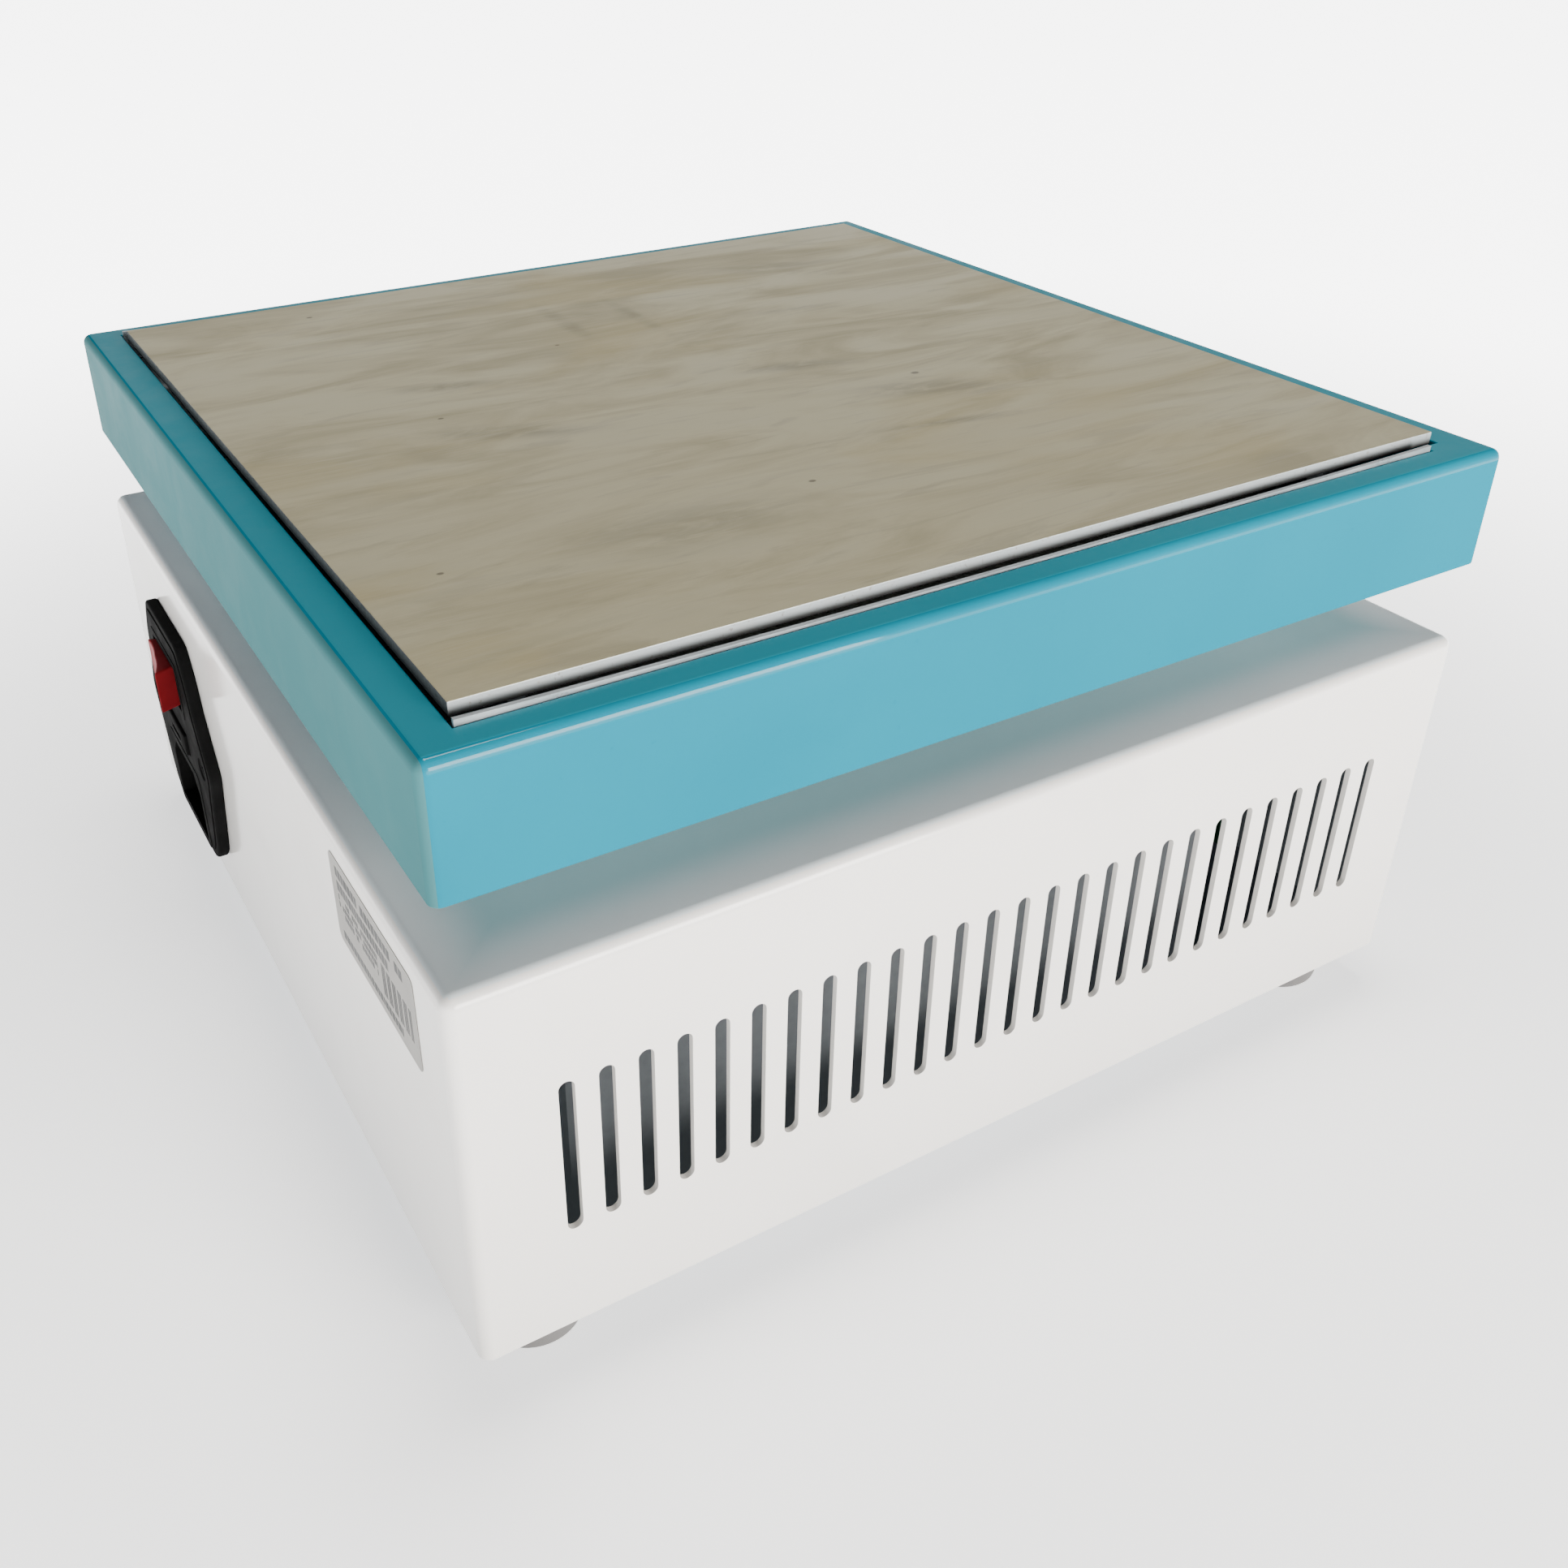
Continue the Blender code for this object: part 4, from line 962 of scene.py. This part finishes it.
def rim_skin():
    """Teal folded sheet frame, round on its outer edges, with a sharp window."""
    made = open_shell("rim_skin", RIM_LOW, RIM_HIGH, RIM_WALL, RIM_EDGE, 7)
    x0 = PLATFORM.x - NOTCH_X / 2
    x1 = PLATFORM.x - WINDOW_X / 2
    x2 = PLATFORM.x + WINDOW_X / 2
    x3 = PLATFORM.x + NOTCH_X / 2
    y0 = PLATFORM.y + WINDOW_Y0
    y1 = PAN_LOW.y - 0.3 * MM
    y2 = PLATFORM.y + WINDOW_Y1
    window = [(x0, y2), (x0, y1), (x1, y1), (x1, y0), (x2, y0), (x2, y1), (x3, y1), (x3, y2)]
    cut(made, lambda shape: add_slab(shape, window, RIM_HIGH.z - 5 * MM, RIM_HIGH.z + 5 * MM, "Z"))
    round_edges(made, 0.22 * MM, 2, 70.0)
    even_normals(made)
    dress(made, TEAL, "teal_coat", "platform", "platform_frame")
    # Painted light and painted shade: the top faces take a lighter copy of the teal and the rear faces a
    # darker, greyer one; the edge faces take a glossier copy for a sharper highlight.
    dress_faces(made, TEAL_LIT_TOP, lambda normal, centre: normal.z > 0.985)
    dress_faces(made, TEAL_EDGE, lambda normal, centre: 0.08 < normal.z < 0.985 and normal.y < 0.3)
    rear = RIM_HIGH.y - 1 * MM
    dress_faces(made, TEAL_SHADED_REAR, lambda normal, centre: normal.y > 0.35 and centre.y > rear - 2 * MM)


def plate_skin():
    """Bare plate with lightly broken edges."""
    made = object_from("plate_skin", lambda shape: add_box(shape, TOP_LOW, TOP_HIGH))
    round_edges(made, 0.22 * MM, 2)
    even_normals(made)
    dress(made, PLATE, "plate_aluminium", "platform", "top_plate")
    # The ±X edge faces get a gradient of painted shade and the ±Y edge faces a near-black copy, also
    # painted shade.
    dress_faces(made, PLATE_EDGE, lambda normal, centre: abs(normal.x) > 0.6)
    dress_faces(made, PLATE_SHADED_SIDE, lambda normal, centre: abs(normal.y) > 0.6)


def pan_skin():
    """Bright pan: a floor and two upturned flanges whose top edges dip slightly at mid-length."""
    thick = 0.8 * MM
    shape = bmesh.new()
    steps = 36
    for x0, x1 in ((PAN_LOW.x, PAN_LOW.x + thick), (PAN_HIGH.x - thick, PAN_HIGH.x)):
        rings = []
        for step in range(steps + 1):
            part = step / steps
            y = PAN_LOW.y + (PAN_HIGH.y - PAN_LOW.y) * part
            top = PAN_HIGH.z - 0.72 * MM * math.sin(math.pi * part) ** 0.7
            rings.append([shape.verts.new(point) for point in (
                (x0, y, PAN_LOW.z), (x1, y, PAN_LOW.z), (x1, y, top), (x0, y, top))])
        for first, second in zip(rings, rings[1:]):
            for side in range(4):
                after = (side + 1) % 4
                shape.faces.new((first[side], first[after], second[after], second[side]))
        shape.faces.new(rings[0])
        shape.faces.new(rings[-1])
    add_box(shape, (PAN_LOW.x + thick, PAN_LOW.y, PAN_LOW.z),
            (PAN_HIGH.x - thick, PAN_HIGH.y, PAN_LOW.z + thick))
    made = finish_mesh("pan_skin", shape)
    dress(made, BRIGHT, "bright_sheet", "platform", "reflector_pan")


# ---------------------------------------------------------------- the rest of the frame

def paint_frame():
    """Materials for the CAD nodes that are shown as they are."""
    numbered = range(1, 5)
    idlers = range(1, 4)
    paint(GALVANISED, "bottom_plate")
    # The chassis and power supply take the dark inside sheet: painted shade seen through the vents.
    paint(SHADED_INSIDE, "chassis", "power_supply")
    paint(STEEL, *[f"foot_screw_{n}" for n in numbered], *[f"standoff_{n}" for n in numbered])
    paint(STEEL, "encoder", "motor", "main_crank", *[f"idler_crank_{n}" for n in idlers])
    paint(STEEL, "main_bearing_low", "main_bearing_top", "pin_bearing_main")
    paint(STEEL, *[f"pin_bearing_{n}" for n in idlers])
    paint(STEEL, "temperature_probe")
    paint(CAST, "main_housing", "main_pulley", "motor_pulley", "platform_carrier")
    paint(CAST, *[f"idler_housing_{n}" for n in idlers])
    paint(BRASS, "counterweight", "inlet_pin_l", "inlet_pin_n", "inlet_pin_e")
    paint(BELT, "belt")
    paint(BOARD, "control_board")
    paint(FIBRE, "insulation_board")
    paint(SILICONE, "heater_mat")


# ---------------------------------------------------------------- stage, light, camera

def floor():
    """Plain pale floor under and far around the object."""
    made = object_from("floor", lambda shape: add_box(shape, (-8.0, -8.0, -0.02), (8.0, 8.0, 0.0)))
    look = Look("floor", (0.93, 0.93, 0.93), 0.9, Emission_Color=(1.0, 1.0, 1.0, 1.0))
    look.tint(look.remap(look.noise(0.5, 2), 0.4, 0.7, 0.0, 0.3), (0.88, 0.88, 0.88))
    reach = look.node("ShaderNodeVectorMath", operation="LENGTH")
    look.link(look.position(), reach.inputs[0])
    look.drive("Emission Strength", look.remap(reach.outputs["Value"], 0.12, 0.65, 1.2, 6.0))
    made.data.materials.append(look.material)


def lamp(name, place, target, size, power, colour=(1.0, 1.0, 1.0)):
    """A square area lamp at a place, turned to a target."""
    light = bpy.data.lights.new(name, "AREA")
    light.size = size
    light.energy = power
    light.color = colour
    made = bpy.data.objects.new(name, light)
    bpy.context.scene.collection.objects.link(made)
    made.location = place
    aim = Vector(target) - Vector(place)
    made.rotation_euler = aim.to_track_quat("-Z", "Y").to_euler()


def lights():
    world = bpy.data.worlds.new("studio")
    bpy.context.scene.world = world
    world.use_nodes = True
    background = world.node_tree.nodes["Background"]
    background.inputs["Color"].default_value = (0.96, 0.98, 1.0, 1.0)
    tree = world.node_tree
    ways = tree.nodes.new("ShaderNodeTexCoord")
    parts = tree.nodes.new("ShaderNodeSeparateXYZ")
    fall = tree.nodes.new("ShaderNodeMapRange")
    fall.interpolation_type = "SMOOTHSTEP"
    for key, number in (("From Min", 0.05), ("From Max", 0.42), ("To Min", 2.2), ("To Max", 0.10)):
        fall.inputs[key].default_value = number
    tree.links.new(ways.outputs["Generated"], parts.inputs[0])
    tree.links.new(parts.outputs["Z"], fall.inputs["Value"])
    tree.links.new(fall.outputs["Result"], background.inputs["Strength"])
    lamp("side_softbox", (-1.75, -0.55, 0.40), (-0.1, 0.0, 0.07), 0.8, 60.0, (1.0, 0.95, 0.90))
    lamp("overhead", (0.15, -0.2, 2.1), (0.0, 0.0, 0.1), 0.6, 23.0, (1.0, 0.98, 0.95))


def camera():
    """Eye a little above the platform, level with its near corner between the rear and the vents."""
    side = 220 * MM
    azimuth = math.radians(240.2743)
    elevation = math.radians(29.9418)
    roll = math.radians(-0.4582)
    flat = math.cos(elevation)
    ahead = Vector((-math.sin(azimuth) * flat, math.cos(azimuth) * flat, -math.sin(elevation)))
    level = ahead.cross(Vector((0.0, 0.0, 1.0))).normalized()
    upright = level.cross(ahead)
    right = math.cos(roll) * level + math.sin(roll) * upright
    up = -math.sin(roll) * level + math.cos(roll) * upright
    middle = Vector((CASE.x, CASE.y, CASE_LOW.z + 0.2 * side))
    place = middle - side * (1.6651 * ahead + 0.0161 * right + 0.0017 * up)
    data = bpy.data.cameras.new("camera")
    data.lens = 35.457
    data.sensor_width = 36.0
    data.shift_x = 0.0518
    data.shift_y = -0.0588
    data.clip_start = 0.01
    data.clip_end = 50.0
    made = bpy.data.objects.new("camera", data)
    bpy.context.scene.collection.objects.link(made)
    turn = Matrix((right, up, -ahead)).transposed()
    made.matrix_world = Matrix.Translation(place) @ turn.to_4x4()
    bpy.context.scene.camera = made


case_skin()
feet()
inlet_skin()
rocker_skin()
fuse_skin()
label_skin()
fascia_skin()
control_prints()
key_skins()
knob_skin()
rim_skin()
plate_skin()
pan_skin()
paint_frame()
floor()
lights()
camera()
